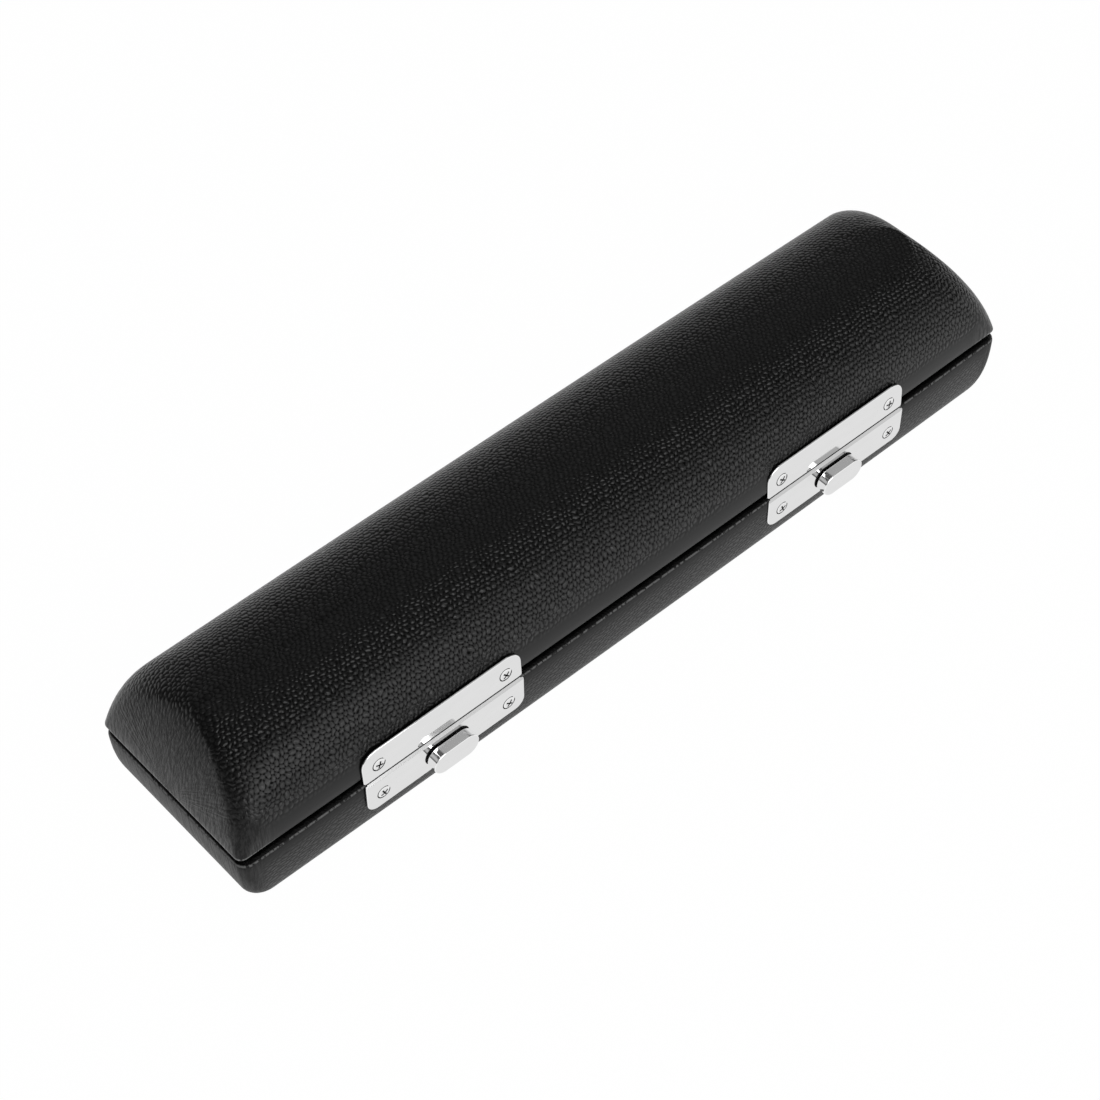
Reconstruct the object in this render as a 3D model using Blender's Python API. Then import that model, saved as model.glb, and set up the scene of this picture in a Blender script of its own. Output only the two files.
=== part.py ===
"""Flute case: a domed, leather-covered lid hinged to a leather-covered base, closed by two slide latches.

Metres, +Z up, X along the case, latches at -Y, hinges at +Y. The origin is the middle of the flat underside.
"""
import math

import bmesh
import bpy
from mathutils import Matrix, Vector

# Case body
case_length = 0.410
case_width = 0.088
side_bow = 0.001
base_height = 0.0282
seam_gap = 0.0018
lid_height = 0.0385

# Form of the walls
lid_end_draw = 0.018
lid_end_power = 1.37
lid_side_power = 2.6
lid_top_angle = math.radians(84)
lid_rim_radius = 0.0016
lid_hip_power = 0.8
base_end_draw = 0.009
base_side_draw = 0.003
base_power = 2.5
base_rim_radius = 0.0026
base_proud = 0.00105
corner_radius = 0.0025
rim_corner_radius = 0.005
corner_least = 0.0006
widest_corner_share = 0.95
crown_corner_radius = 0.018
foot_corner_radius = 0.009

# Layers of the walls, from the outside in
leather_thickness = 0.0012
layer_gap = 0.0003
wood_thickness = 0.004
lining_thickness = 0.003
lining_rim_radius = 0.001

# Fitted insert
insert_drop = 0.001
insert_edge_radius = 0.0012
insert_floor = 0.003
insert_end_wall = 0.008
insert_side_wall = 0.006
insert_ridge = 0.009
groove_corner_radius = 0.005
groove_floor_radius = 0.006
head_bay_length = 0.230
bay_bridge = 0.010

# Latch plates
latch_end_distance = 0.0986
latch_shift = -0.002
plate_split_drop = 0.0006
plate_split_gap = 0.0003
plate_seat_gap = 0.0004
plate_length = 0.079
plate_thickness = 0.0007
plate_near_radius = 0.0012
plate_edge_bevel = 0.0002
catch_plate_height = 0.0157
catch_corner_radius = 0.007
lid_plate_lean = 0.03
lock_plate_height = 0.0172
lock_corner_radius = 0.005
base_plate_lean = 0.02
lock_strip_height = 0.0013
lock_lip_inset = 0.0012

# Latch button
button_length = 0.0223
button_height = 0.0113
button_thickness = 0.0046
button_standoff = 0.00065
button_drop = 0.01015
button_shift = 0.0006
button_edge_bevel = 0.0005
neck_length = 0.008
neck_height = 0.005
rivet_radius = 0.0015
button_travel = 0.005
neck_clearance = 0.0004

# Latch works behind the plates
works_gap = 0.0008
works_clearance = 0.0003
slider_thickness = 0.001
slider_height = 0.006
slider_tail = 0.012
slider_nose = 0.008
slider_arm_width = 0.006
bolt_drop = 0.0035
bolt_height = 0.0022
bolt_reach = 0.0047
hook_start = 0.009
hook_width = 0.008
hook_rise = 0.009
hook_foot = 0.0015
spring_radius = 0.0012
spring_wire_radius = 0.00025
spring_length = 0.008
spring_turns = 6
keeper_thickness = 0.0005
keeper_margin = 0.002
keeper_end_margin = 0.0025

# Screws
screw_head_radius = 0.0027
screw_crown = 0.0003
screw_crown_share = 0.6
screw_shank_radius = 0.0011
screw_length = 0.0058
screw_point_share = 0.3
screw_slot_length = 0.0026
screw_slot_width = 0.0006
screw_slot_depth = 0.0006
screw_hole_clearance = 0.0004
screw_inset = 0.008
catch_screw_rise = 0.0068
lock_screw_drop = 0.0099

# Hinges
hinge_end_distance = 0.099
leaf_length = 0.050
leaf_height = 0.0115
leaf_corner_radius = 0.003
knuckle_radius = 0.0018
knuckle_middle = 0.020
knuckle_side_gap = 0.0003
pin_radius = 0.0009
pin_clearance = 0.0001
pin_overhang = 0.0006
leaf_screw_inset = 0.007
leaf_screw_rise = 0.0074

# Fineness of the round shapes
corner_steps = 4
side_steps = 8
lid_ring_count = 8
base_ring_count = 5
next_ring_share = 1.5
round_steps = 12
pin_steps = 16
coil_steps = 8
coil_sides = 5
overrun = 0.002

# Places worked out from the sizes
lid_edge_z = base_height + seam_gap
lid_top_share = math.sin(lid_top_angle) ** (2 / lid_side_power)
wood_inset = leather_thickness + layer_gap
turn_inset = wood_inset + wood_thickness
wood_lift = leather_thickness + layer_gap
lining_inset = turn_inset + layer_gap
split_z = base_height - plate_split_drop
latch_spacing = case_length - 2 * latch_end_distance
hinge_spacing = case_length - 2 * hinge_end_distance
latch_bow = side_bow * (1 - (latch_spacing / case_length) ** 2)
hinge_bow = side_bow * (1 - (hinge_spacing / case_length) ** 2)
latch_y = -(case_width / 2 + latch_bow + plate_seat_gap)
hinge_y = case_width / 2 + hinge_bow + plate_seat_gap + knuckle_radius
hinge_z = base_height + seam_gap / 2
insert_top_z = base_height - insert_drop
groove_floor_z = lining_inset + insert_floor
groove_half_length = case_length / 2 - lining_inset - insert_end_wall
groove_width = case_width / 2 - lining_inset - insert_side_wall - insert_ridge / 2
groove_y = (insert_ridge + groove_width) / 2
bolt_end = slider_nose + bolt_reach
hook_end = hook_start + hook_width
hook_low = bolt_drop + bolt_height / 2 + works_clearance + hook_foot
works_far = works_gap + slider_thickness
spring_middle_y = works_gap + spring_radius
keeper_near = spring_middle_y + spring_radius + works_clearance
keeper_far = keeper_near + keeper_thickness
lock_plate_depth = base_proud + plate_thickness
keeper_ahead = hook_end + keeper_end_margin
keeper_behind = slider_tail + spring_length + 2 * works_clearance
keeper_low = button_drop + slider_height / 2 + keeper_margin
keeper_high = bolt_drop - bolt_height / 2 - works_clearance
leaf_near = knuckle_radius + knuckle_side_gap


def clear_scene():
    for thing in list(bpy.data.objects):
        bpy.data.objects.remove(thing, do_unlink=True)


def material(name, colour, roughness, metallic):
    made = bpy.data.materials.new(name)
    made.use_nodes = True
    shader = made.node_tree.nodes["Principled BSDF"]
    shader.inputs["Base Color"].default_value = (*colour, 1)
    shader.inputs["Roughness"].default_value = roughness
    shader.inputs["Metallic"].default_value = metallic
    return made


def black_leather():
    return material("black_leather", (0.022, 0.022, 0.023), 0.5, 0)


def pressed_wood():
    return material("pressed_wood", (0.36, 0.24, 0.14), 0.7, 0)


def lining_velvet():
    return material("lining_velvet", (0.012, 0.016, 0.045), 0.9, 0)


def bright_chrome():
    return material("chrome", (0.84, 0.84, 0.85), 0.08, 1)


def works_steel():
    return material("works_steel", (0.55, 0.55, 0.56), 0.3, 1)


def pivot(name, place):
    """Empty that a moving body hangs on, set on its joint's axis."""
    empty = bpy.data.objects.new(name, None)
    empty.location = place
    bpy.context.collection.objects.link(empty)
    return empty


def finish(name, shape, finish_material=None, matrix=None, parent=None, smooth_angle=35):
    """Object from a bmesh, placed by its matrix and hung on its parent."""
    bmesh.ops.recalc_face_normals(shape, faces=shape.faces)
    mesh = bpy.data.meshes.new(name)
    shape.to_mesh(mesh)
    shape.free()
    mesh.shade_smooth()
    mesh.set_sharp_from_angle(angle=math.radians(smooth_angle))
    made = bpy.data.objects.new(name, mesh)
    bpy.context.collection.objects.link(made)
    made.matrix_world = matrix or Matrix.Identity(4)
    if finish_material:
        mesh.materials.append(finish_material)
    if parent:
        made.parent = parent
        made.matrix_parent_inverse = Matrix.Translation(parent.location).inverted()
    return made


def boolean(target, tool, operation="DIFFERENCE"):
    """Live Boolean whose tool stays in the scene as a wire guide."""
    tool.hide_render = True
    tool.display_type = "WIRE"
    step = target.modifiers.new(tool.name, "BOOLEAN")
    step.operation = operation
    step.solver = "EXACT"
    step.object = tool


def add_box(shape, low, high):
    size = [max(a, b) - min(a, b) for a, b in zip(low, high)]
    middle = [(a + b) / 2 for a, b in zip(low, high)]
    matrix = Matrix.Translation(middle) @ Matrix.Diagonal((*size, 1))
    bmesh.ops.create_cube(shape, size=1, matrix=matrix)


def add_loft(shape, rings):
    """Skin over rings of equal count, closed by a face at each end."""
    rows = [[shape.verts.new(point) for point in ring] for ring in rings]
    for low, high in zip(rows, rows[1:]):
        for k in range(len(low)):
            after = (k + 1) % len(low)
            shape.faces.new((low[k], low[after], high[after], high[k]))
    shape.faces.new(list(reversed(rows[0])))
    shape.faces.new(rows[-1])


def add_turned(shape, profile, place, direction, steps):
    """Solid turned about a direction; its profile gives radii and distances along it, from end to end."""
    aim = Vector(direction).to_track_quat("Z", "Y").to_matrix().to_4x4()
    matrix = Matrix.Translation(place) @ aim
    rings = []
    for radius, along in profile:
        turns = [2 * math.pi * k / steps for k in range(steps)]
        rings.append([matrix @ Vector((radius * math.cos(t), radius * math.sin(t), along)) for t in turns])
    add_loft(shape, rings)


def arc(middle, radius, start, end, steps):
    """Points of an arc in a plane, angles in quarter turns."""
    angles = [math.pi / 2 * (start + (end - start) * k / steps) for k in range(steps + 1)]
    return [(middle[0] + radius * math.cos(a), middle[1] + radius * math.sin(a)) for a in angles]


def add_slab(shape, outline, near, far):
    """Slab with an outline in X and Z, from y = near to y = far."""
    add_loft(shape, [[(x, y, z) for x, z in outline] for y in (near, far)])


def rounded_outline(half_length, half_width, radius):
    """Rounded rectangle with extra points along its two long sides."""
    reach = half_length - radius
    run = half_width - radius
    points = arc((reach, -run), radius, -1, 0, corner_steps)
    points += arc((reach, run), radius, 0, 1, corner_steps)
    points += [(reach * (1 - 2 * k / side_steps), half_width) for k in range(1, side_steps)]
    points += arc((-reach, run), radius, 1, 2, corner_steps)
    points += arc((-reach, -run), radius, 2, 3, corner_steps)
    points += [(reach * (2 * k / side_steps - 1), -half_width) for k in range(1, side_steps)]
    return points


def wall_ring(half_length, half_width, radius, z):
    """Outline of a case wall at a height, with its long sides bowed out."""
    radius = min(max(radius, corner_least), half_width * widest_corner_share)
    ring = []
    for x, y in rounded_outline(half_length, half_width, radius):
        bow = side_bow * (1 - (2 * x / case_length) ** 2) * y / (case_width / 2)
        ring.append((x, y + bow, z))
    return ring


def drawn(share, power):
    """How much of its full draw a wall has moved in at a share of its height."""
    return 1 - (1 - min(share, 1) ** power) ** (1 / power)


def lid_ring(share, inset, shrink=0):
    """Outline of the lid at a share of its dome, on the layer at an inset."""
    side = drawn(share, lid_side_power)
    half_length = case_length / 2 - inset - lid_end_draw * drawn(share, lid_end_power) - shrink
    half_width = (case_width / 2 - inset) * (1 - side) - shrink
    radius = corner_radius + (crown_corner_radius - corner_radius) * share ** lid_hip_power - inset
    rise = (lid_height - inset) * share / lid_top_share
    return wall_ring(half_length, half_width, radius, lid_edge_z + rise)


def base_ring(share, inset, shrink=0):
    """Outline of the base at a share of its depth, on the layer at an inset."""
    draw = drawn(share, base_power)
    forwards = base_proud / 2 * (1 - draw)
    half_length = case_length / 2 - inset - base_end_draw * draw - shrink
    half_width = case_width / 2 + forwards - inset - base_side_draw * draw - shrink
    radius = rim_corner_radius + (foot_corner_radius - rim_corner_radius) * draw - inset
    ring = wall_ring(half_length, half_width, radius, base_height - (base_height - inset) * share)
    return [(x, y - forwards, z) for x, y, z in ring]


def lid_share(rise, inset):
    """Share of the dome that a rise above the lid's edge comes to."""
    return rise * lid_top_share / (lid_height - inset)


def lid_side(inset, rim_lift, rim_radius=0):
    """Rings of one face of a lid layer, from its rim to its crown."""
    rings = []
    if rim_radius:
        for turn in (0, 1):
            slant = math.pi / 4 * turn
            rise = rim_lift + rim_radius * (1 - math.cos(slant))
            rings.append(lid_ring(lid_share(rise, inset), inset, rim_radius * (1 - math.sin(slant))))
    start = lid_share(rim_lift + rim_radius, inset)
    rings.append(lid_ring(start, inset))
    for k in range(1, lid_ring_count + 1):
        share = math.sin(lid_top_angle * k / lid_ring_count) ** (2 / lid_side_power)
        if share > start * next_ring_share:
            rings.append(lid_ring(share, inset))
    return rings


def base_side(inset, rim_drop, rim_radius=0):
    """Rings of one face of a base layer, from its rim to its floor."""
    depth = base_height - inset
    rings = []
    if rim_radius:
        for turn in (0, 1):
            slant = math.pi / 4 * turn
            drop = rim_drop + rim_radius * (1 - math.cos(slant))
            rings.append(base_ring(drop / depth, inset, rim_radius * (1 - math.sin(slant))))
    start = (rim_drop + rim_radius) / depth
    rings.append(base_ring(start, inset))
    for k in range(1, base_ring_count + 1):
        share = math.sin(math.pi / 2 * k / base_ring_count) ** (2 / base_power)
        if share > start * next_ring_share:
            rings.append(base_ring(share, inset))
    return rings


def lid_cover(finish_material, lid_pivot):
    """Leather skin, turned in over the edge of the wooden shell."""
    shape = bmesh.new()
    inner = lid_side(leather_thickness, leather_thickness)
    turned = [lid_ring(lid_share(rise, turn_inset), turn_inset) for rise in (leather_thickness, 0)]
    add_loft(shape, inner[::-1] + turned + lid_side(0, 0, lid_rim_radius))
    return finish("lid_cover", shape, finish_material, parent=lid_pivot)


def lid_shell(finish_material, lid_pivot):
    shape = bmesh.new()
    inner = lid_side(turn_inset, wood_lift)
    add_loft(shape, inner[::-1] + lid_side(wood_inset, wood_lift))
    return finish("lid_shell", shape, finish_material, parent=lid_pivot)


def lid_lining(finish_material, lid_pivot):
    shape = bmesh.new()
    inner = lid_side(lining_inset + lining_thickness, layer_gap)
    add_loft(shape, inner[::-1] + lid_side(lining_inset, layer_gap, lining_rim_radius))
    return finish("lid_lining", shape, finish_material, parent=lid_pivot)


def base_cover(finish_material):
    """Leather skin, turned in over the edge of the wooden shell."""
    shape = bmesh.new()
    inner = base_side(leather_thickness, leather_thickness)
    turned = [base_ring(drop / (base_height - turn_inset), turn_inset) for drop in (leather_thickness, 0)]
    add_loft(shape, inner[::-1] + turned + base_side(0, 0, base_rim_radius))
    return finish("base_cover", shape, finish_material)


def base_shell(finish_material):
    shape = bmesh.new()
    inner = base_side(turn_inset, wood_lift)
    add_loft(shape, inner[::-1] + base_side(wood_inset, wood_lift))
    return finish("base_shell", shape, finish_material)


def groove_tool(name, left, right, middle_y):
    """Tub-shaped cutter for one bay of the insert, round at its corners and along its floor."""
    half_length = (right - left) / 2
    middle = (left + right) / 2
    rings = [(0, insert_top_z + overrun)]
    for turn in range(3):
        slant = math.pi / 4 * turn
        sink = groove_floor_radius * (1 - math.sin(slant))
        rings.append((groove_floor_radius * (1 - math.cos(slant)), groove_floor_z + sink))
    shape = bmesh.new()
    loops = []
    for shrink, z in rings:
        radius = max(groove_corner_radius - shrink, corner_least)
        outline = rounded_outline(half_length - shrink, groove_width / 2 - shrink, radius)
        loops.append([(middle + x, middle_y + y, z) for x, y in outline])
    add_loft(shape, loops)
    return finish(name, shape)


def base_insert(finish_material):
    """Velvet-covered block with one long bay and two short ones, a bridge between them."""
    depth = base_height - lining_inset
    rings = []
    for turn in (0, 1, 2):
        slant = math.pi / 4 * turn
        drop = insert_drop + insert_edge_radius * (1 - math.cos(slant))
        rings.append(base_ring(drop / depth, lining_inset, insert_edge_radius * (1 - math.sin(slant))))
    for k in range(2, base_ring_count + 1):
        share = math.sin(math.pi / 2 * k / base_ring_count) ** (2 / base_power)
        rings.append(base_ring(share, lining_inset))
    shape = bmesh.new()
    add_loft(shape, rings)
    insert = finish("base_insert", shape, finish_material)
    bridge_start = groove_half_length - head_bay_length - bay_bridge
    boolean(insert, groove_tool("body_bay_tool", -groove_half_length, groove_half_length, groove_y))
    boolean(insert, groove_tool("head_bay_tool", bridge_start + bay_bridge, groove_half_length, -groove_y))
    boolean(insert, groove_tool("foot_bay_tool", -groove_half_length, bridge_start, -groove_y))
    return insert


def screw_mesh():
    """Countersunk screw with a crossed slot, head outwards at -Y, its face's rim at y = 0."""
    shape = bmesh.new()
    crown = [(screw_head_radius * screw_crown_share, -screw_crown), (screw_head_radius, 0)]
    shank = [(screw_shank_radius, plate_thickness), (screw_shank_radius, screw_length - screw_shank_radius)]
    point = [(screw_shank_radius * screw_point_share, screw_length)]
    add_turned(shape, crown + shank + point, (0, 0, 0), (0, 1, 0), round_steps)
    return shape


def slot_mesh():
    """Crossed cutter for a screw's head."""
    far, near = screw_slot_length / 2, screw_slot_width / 2
    corners = [(far, -near), (far, near), (near, near), (near, far), (-near, far), (-near, near)]
    outline = corners + [(-x, -z) for x, z in corners]
    shape = bmesh.new()
    add_slab(shape, outline, -screw_crown - overrun, screw_slot_depth - screw_crown)
    return shape


def screw(name, finish_material, matrix, parent=None):
    made = finish(name, screw_mesh(), finish_material, matrix, parent)
    boolean(made, finish(name + "_slot_tool", slot_mesh(), None, matrix, parent))
    return made


def add_countersink(shape, place):
    """Hole for a countersunk screw through a plate whose outer face is at y = 0."""
    x, z = place
    mouth = screw_head_radius + screw_hole_clearance
    throat = screw_shank_radius + screw_hole_clearance
    slope = (mouth - throat) / plate_thickness
    profile = [(mouth + slope * overrun, -overrun), (throat, plate_thickness)]
    profile += [(throat, plate_thickness + overrun)]
    add_turned(shape, profile, (x, 0, z), (0, 1, 0), round_steps)


def add_bore(shape, matrix, place):
    """Clearance bore for a screw's shank, run from the plate's outer face into the wall."""
    x, z = place
    radius = screw_shank_radius + screw_hole_clearance
    spot = matrix @ Vector((x, 0, z))
    aim = matrix.to_3x3() @ Vector((0, 1, 0))
    reach = screw_length + screw_hole_clearance
    add_turned(shape, [(radius, 0), (radius, reach)], spot, aim, round_steps // 2)


class Latch:
    """Places of one latch; its button is pushed towards the nearer end of the case to release it."""

    def __init__(self, name, side):
        self.name = name
        self.side = side
        x = latch_shift + side * latch_spacing / 2
        face = Matrix.Translation((x, latch_y - plate_thickness, split_z))
        inwards = Matrix.Translation((self.ahead(button_shift), 0, 0))
        self.upper = face @ Matrix.Rotation(-lid_plate_lean, 4, "X")
        forwards = Matrix.Translation((0, -base_proud, 0))
        self.lower = face @ Matrix.Rotation(base_plate_lean, 4, "X") @ forwards
        self.button = self.lower @ inwards
        self.back = Matrix.Translation((x, latch_y, split_z)) @ inwards
        across = plate_length / 2 - screw_inset
        self.catch_screws = [(-across, catch_screw_rise), (across, catch_screw_rise)]
        self.lock_screws = [(-across, -lock_screw_drop), (across, -lock_screw_drop)]

    def ahead(self, distance):
        """Local x of a place ahead of the button, where the bolt points; the release goes the other way."""
        return -self.side * distance

    def span(self, start, end):
        return sorted((self.ahead(start), self.ahead(end)))


def plate_outline(height, near, radius, length, sign):
    """Plate outline in X and Z, with small round corners at its near edge and large ones at its far edge."""
    half = length / 2
    near_run = near + plate_near_radius
    run = height - radius
    points = arc((-half + plate_near_radius, near_run), plate_near_radius, 2, 3, 2)
    points += arc((half - plate_near_radius, near_run), plate_near_radius, 3, 4, 2)
    points += arc((half - radius, run), radius, 0, 1, corner_steps)
    points += arc((-half + radius, run), radius, 1, 2, corner_steps)
    return [(x, sign * z) for x, z in points]


def bevel_face(shape, width):
    """Bevel the edges round a slab's outer face, which lies at y = 0."""
    edges = [edge for edge in shape.edges if all(vertex.co.y == 0 for vertex in edge.verts)]
    bmesh.ops.bevel(shape, geom=edges, offset=width, segments=1, profile=0.5, affect="EDGES")


def screw_hole_tool(name, matrix, places, parent=None):
    shape = bmesh.new()
    for place in places:
        add_countersink(shape, place)
    return finish(name, shape, None, matrix, parent)


def catch_plate(latch, finish_material, lid_pivot):
    """Upper plate, on the lid."""
    name = f"{latch.name}_catch_plate"
    shape = bmesh.new()
    outline = plate_outline(catch_plate_height, plate_split_gap / 2, catch_corner_radius, plate_length, 1)
    add_slab(shape, outline, 0, plate_thickness)
    bevel_face(shape, plate_edge_bevel)
    plate = finish(name, shape, finish_material, latch.upper, lid_pivot)
    boolean(plate, screw_hole_tool(f"{name}_hole_tool", latch.upper, latch.catch_screws, lid_pivot))
    return plate


def neck_slot_tool(name, latch):
    """Slot in the lock plate, long enough for the button's neck to travel."""
    low = -button_drop - neck_height / 2 - neck_clearance
    high = low + neck_height + 2 * neck_clearance
    ends = latch.span(neck_length / 2 + neck_clearance, -neck_length / 2 - button_travel - neck_clearance)
    shape = bmesh.new()
    add_box(shape, (ends[0], -overrun, low), (ends[1], lock_plate_depth + overrun, high))
    return finish(name, shape, None, latch.button)


def strip_prism(name, latch, points, half):
    """Prism along the case whose corners are given in Y and Z of the lock plate."""
    shape = bmesh.new()
    add_loft(shape, [[(x, y, z) for y, z in points] for x in (-half, half)])
    return finish(name, shape, None, latch.lower)


def lock_lip_tool(name, latch):
    """Back of the lock plate's upper strip, which the base's rim leaves room for."""
    top = plate_split_gap / 2
    slope = base_proud / lock_strip_height
    inside = plate_thickness / 2
    low = -lock_strip_height - inside / slope
    lip = [(inside, -top), (lock_plate_depth - slope * top, -top), (inside, low)]
    return strip_prism(name, latch, lip, plate_length / 2 - lock_lip_inset)


def lock_strip_tool(name, latch):
    """Wedge that slopes the lock plate's upper strip back to the catch plate's face."""
    rise = overrun / lock_strip_height
    wedge = [(-overrun, -lock_strip_height), (0, -lock_strip_height)]
    wedge += [(base_proud * (1 + rise), overrun), (-overrun, overrun)]
    return strip_prism(name, latch, wedge, plate_length / 2 + overrun)


def lock_plate(latch, finish_material):
    """Lower plate, on the base's wall, with a slot for the button's neck."""
    name = f"{latch.name}_lock_plate"
    shape = bmesh.new()
    outline = plate_outline(lock_plate_height, plate_split_gap / 2, lock_corner_radius, plate_length, -1)
    add_slab(shape, outline, 0, plate_thickness)
    bevel_face(shape, plate_edge_bevel)
    plate = finish(name, shape, finish_material, latch.lower)
    boolean(plate, lock_lip_tool(f"{name}_lip_tool", latch), "UNION")
    boolean(plate, lock_strip_tool(f"{name}_strip_tool", latch))
    boolean(plate, screw_hole_tool(f"{name}_hole_tool", latch.lower, latch.lock_screws))
    boolean(plate, neck_slot_tool(f"{name}_slot_tool", latch))
    return plate


def obround(length, height, middle_z):
    """Long round-ended outline in X and Z."""
    radius = height / 2
    reach = length / 2 - radius
    points = arc((reach, middle_z), radius, -1, 1, corner_steps * 2)
    return points + arc((-reach, middle_z), radius, 1, 3, corner_steps * 2)


def button(latch, finish_material, slide_pivot):
    """Head, neck through the lock plate's slot and rivet through the slider, in one piece."""
    name = f"{latch.name}_button"
    shape = bmesh.new()
    add_slab(shape, obround(button_length, button_height, -button_drop), 0, button_thickness)
    bevel_face(shape, button_edge_bevel)
    bmesh.ops.translate(shape, verts=shape.verts, vec=(0, -button_standoff - button_thickness, 0))
    head = finish(name, shape, finish_material, latch.button, slide_pivot)
    shape = bmesh.new()
    inside_head = -button_standoff - button_thickness / 2
    low = (-neck_length / 2, inside_head, -button_drop - neck_height / 2)
    add_box(shape, low, (neck_length / 2, lock_plate_depth, low[2] + neck_height))
    boolean(head, finish(f"{name}_neck_tool", shape, None, latch.button, slide_pivot), "UNION")
    shape = bmesh.new()
    profile = [(rivet_radius, 0), (rivet_radius, lock_plate_depth + works_far + works_clearance)]
    add_turned(shape, profile, (0, 0, -button_drop), (0, 1, 0), round_steps)
    boolean(head, finish(f"{name}_rivet_tool", shape, None, latch.button, slide_pivot), "UNION")
    return head


def slider(latch, finish_material, slide_pivot):
    """Slide plate behind the lock plate, its arm rising to the bolt at its leading end."""
    name = f"{latch.name}_slider"
    low, high = -button_drop - slider_height / 2, -button_drop + slider_height / 2
    bolt_low, bolt_high = -bolt_drop - bolt_height / 2, -bolt_drop + bolt_height / 2
    arm_start = slider_nose - slider_arm_width
    outline = [(-slider_tail, low), (slider_nose, low), (slider_nose, bolt_low), (bolt_end, bolt_low)]
    outline += [(bolt_end, bolt_high), (arm_start, bolt_high), (arm_start, high), (-slider_tail, high)]
    shape = bmesh.new()
    add_slab(shape, [(latch.ahead(x), z) for x, z in outline], works_gap, works_far)
    plate = finish(name, shape, finish_material, latch.back, slide_pivot)
    shape = bmesh.new()
    radius = rivet_radius + works_clearance
    profile = [(radius, -overrun), (radius, works_far + overrun)]
    add_turned(shape, profile, (0, 0, -button_drop), (0, 1, 0), round_steps)
    boolean(plate, finish(f"{name}_hole_tool", shape, None, latch.back, slide_pivot))
    return plate


def hook(latch, finish_material, lid_pivot):
    """Tongue behind the catch plate, with a notch in its side that the bolt enters."""
    notch_low = -bolt_drop - bolt_height / 2 - works_clearance
    notch_high = -bolt_drop + bolt_height / 2 + works_clearance
    notch_end = bolt_end + works_clearance
    outline = [(hook_start, hook_rise), (hook_start, notch_high), (notch_end, notch_high)]
    outline += [(notch_end, notch_low), (hook_start, notch_low), (hook_start, -hook_low)]
    outline += [(hook_end, -hook_low), (hook_end, hook_rise)]
    shape = bmesh.new()
    add_slab(shape, [(latch.ahead(x), z) for x, z in outline], works_gap, works_far)
    return finish(f"{latch.name}_hook", shape, finish_material, latch.back, lid_pivot)


def return_spring(latch, finish_material):
    """Coil spring between the slider's tail and the keeper's bent end."""
    start = slider_tail + works_clearance + spring_wire_radius
    run = spring_length - 2 * spring_wire_radius
    radius = spring_radius - spring_wire_radius
    count = spring_turns * coil_steps
    rings = []
    for k in range(count + 1):
        turn = 2 * math.pi * k / coil_steps
        out = Vector((0, math.cos(turn), math.sin(turn)))
        middle = Vector((-start - run * k / count, 0, 0)) + out * radius
        ring = []
        for j in range(coil_sides):
            angle = 2 * math.pi * j / coil_sides
            across = out * math.cos(angle) + Vector((math.sin(angle), 0, 0))
            point = middle + across * spring_wire_radius
            ring.append((latch.ahead(point.x), spring_middle_y + point.y, point.z - button_drop))
        rings.append(ring)
    shape = bmesh.new()
    add_loft(shape, rings)
    return finish(f"{latch.name}_return_spring", shape, finish_material, latch.back)


def keeper(latch, finish_material):
    """Channel behind the slider with its ends bent towards the lock plate."""
    tail, nose = -keeper_behind, keeper_ahead
    outline = [(tail - keeper_thickness, works_gap), (tail, works_gap), (tail, keeper_near)]
    outline += [(nose, keeper_near), (nose, works_gap), (nose + keeper_thickness, works_gap)]
    outline += [(nose + keeper_thickness, keeper_far), (tail - keeper_thickness, keeper_far)]
    shape = bmesh.new()
    add_loft(shape, [[(latch.ahead(x), y, z) for x, y in outline] for z in (-keeper_low, -keeper_high)])
    return finish(f"{latch.name}_keeper", shape, finish_material, latch.back)


def add_pocket(shape, latch):
    """Hollow in the base's wall for the works of a latch."""
    spot = latch.back.translation
    margin = keeper_thickness + works_clearance
    ends = latch.span(keeper_ahead + margin, -keeper_behind - margin)
    low = (spot.x + ends[0], spot.y - overrun, spot.z - keeper_low - works_clearance)
    high = (spot.x + ends[1], spot.y + keeper_far + works_clearance, spot.z - keeper_high + works_clearance)
    add_box(shape, low, high)


def add_hook_way(shape, latch, low, high):
    """Slot for the hook in a wall, between two heights above the split."""
    spot = latch.back.translation
    ends = latch.span(hook_start - works_clearance, hook_end + works_clearance)
    near_corner = (spot.x + ends[0], spot.y - overrun, spot.z + low)
    far_corner = (spot.x + ends[1], spot.y + works_far + works_clearance, spot.z + high)
    add_box(shape, near_corner, far_corner)


class Hinge:
    """Places of one butt hinge on the back of the case."""

    def __init__(self, name, side):
        self.name = name
        axis = Matrix.Translation((side * hinge_spacing / 2, hinge_y, hinge_z))
        face_shift = Matrix.Translation((0, plate_thickness - knuckle_radius, 0))
        outwards = face_shift @ Matrix.Rotation(math.pi, 4, "Z")
        self.axis = axis
        self.lid_axis = axis @ Matrix.Rotation(lid_plate_lean, 4, "X")
        self.base_axis = axis @ Matrix.Rotation(-base_plate_lean, 4, "X")
        self.lid_face = self.lid_axis @ outwards
        self.base_face = self.base_axis @ outwards
        across = leaf_length / 2 - leaf_screw_inset
        self.lid_screws = [(-across, leaf_screw_rise), (across, leaf_screw_rise)]
        self.base_screws = [(-across, -leaf_screw_rise), (across, -leaf_screw_rise)]


def knuckle_profile(sign):
    """Round knuckle with a tab down to its leaf, in Y and Z about the axis."""
    back, front = -knuckle_radius, plate_thickness - knuckle_radius
    reach = leaf_near + plate_thickness
    meet = 4 - math.acos(front / knuckle_radius) / (math.pi / 2)
    profile = [(back, -reach), (front, -reach)] + arc((0, 0), knuckle_radius, meet, 6, round_steps)
    return [(y, -sign * z) for y, z in profile]


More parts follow.
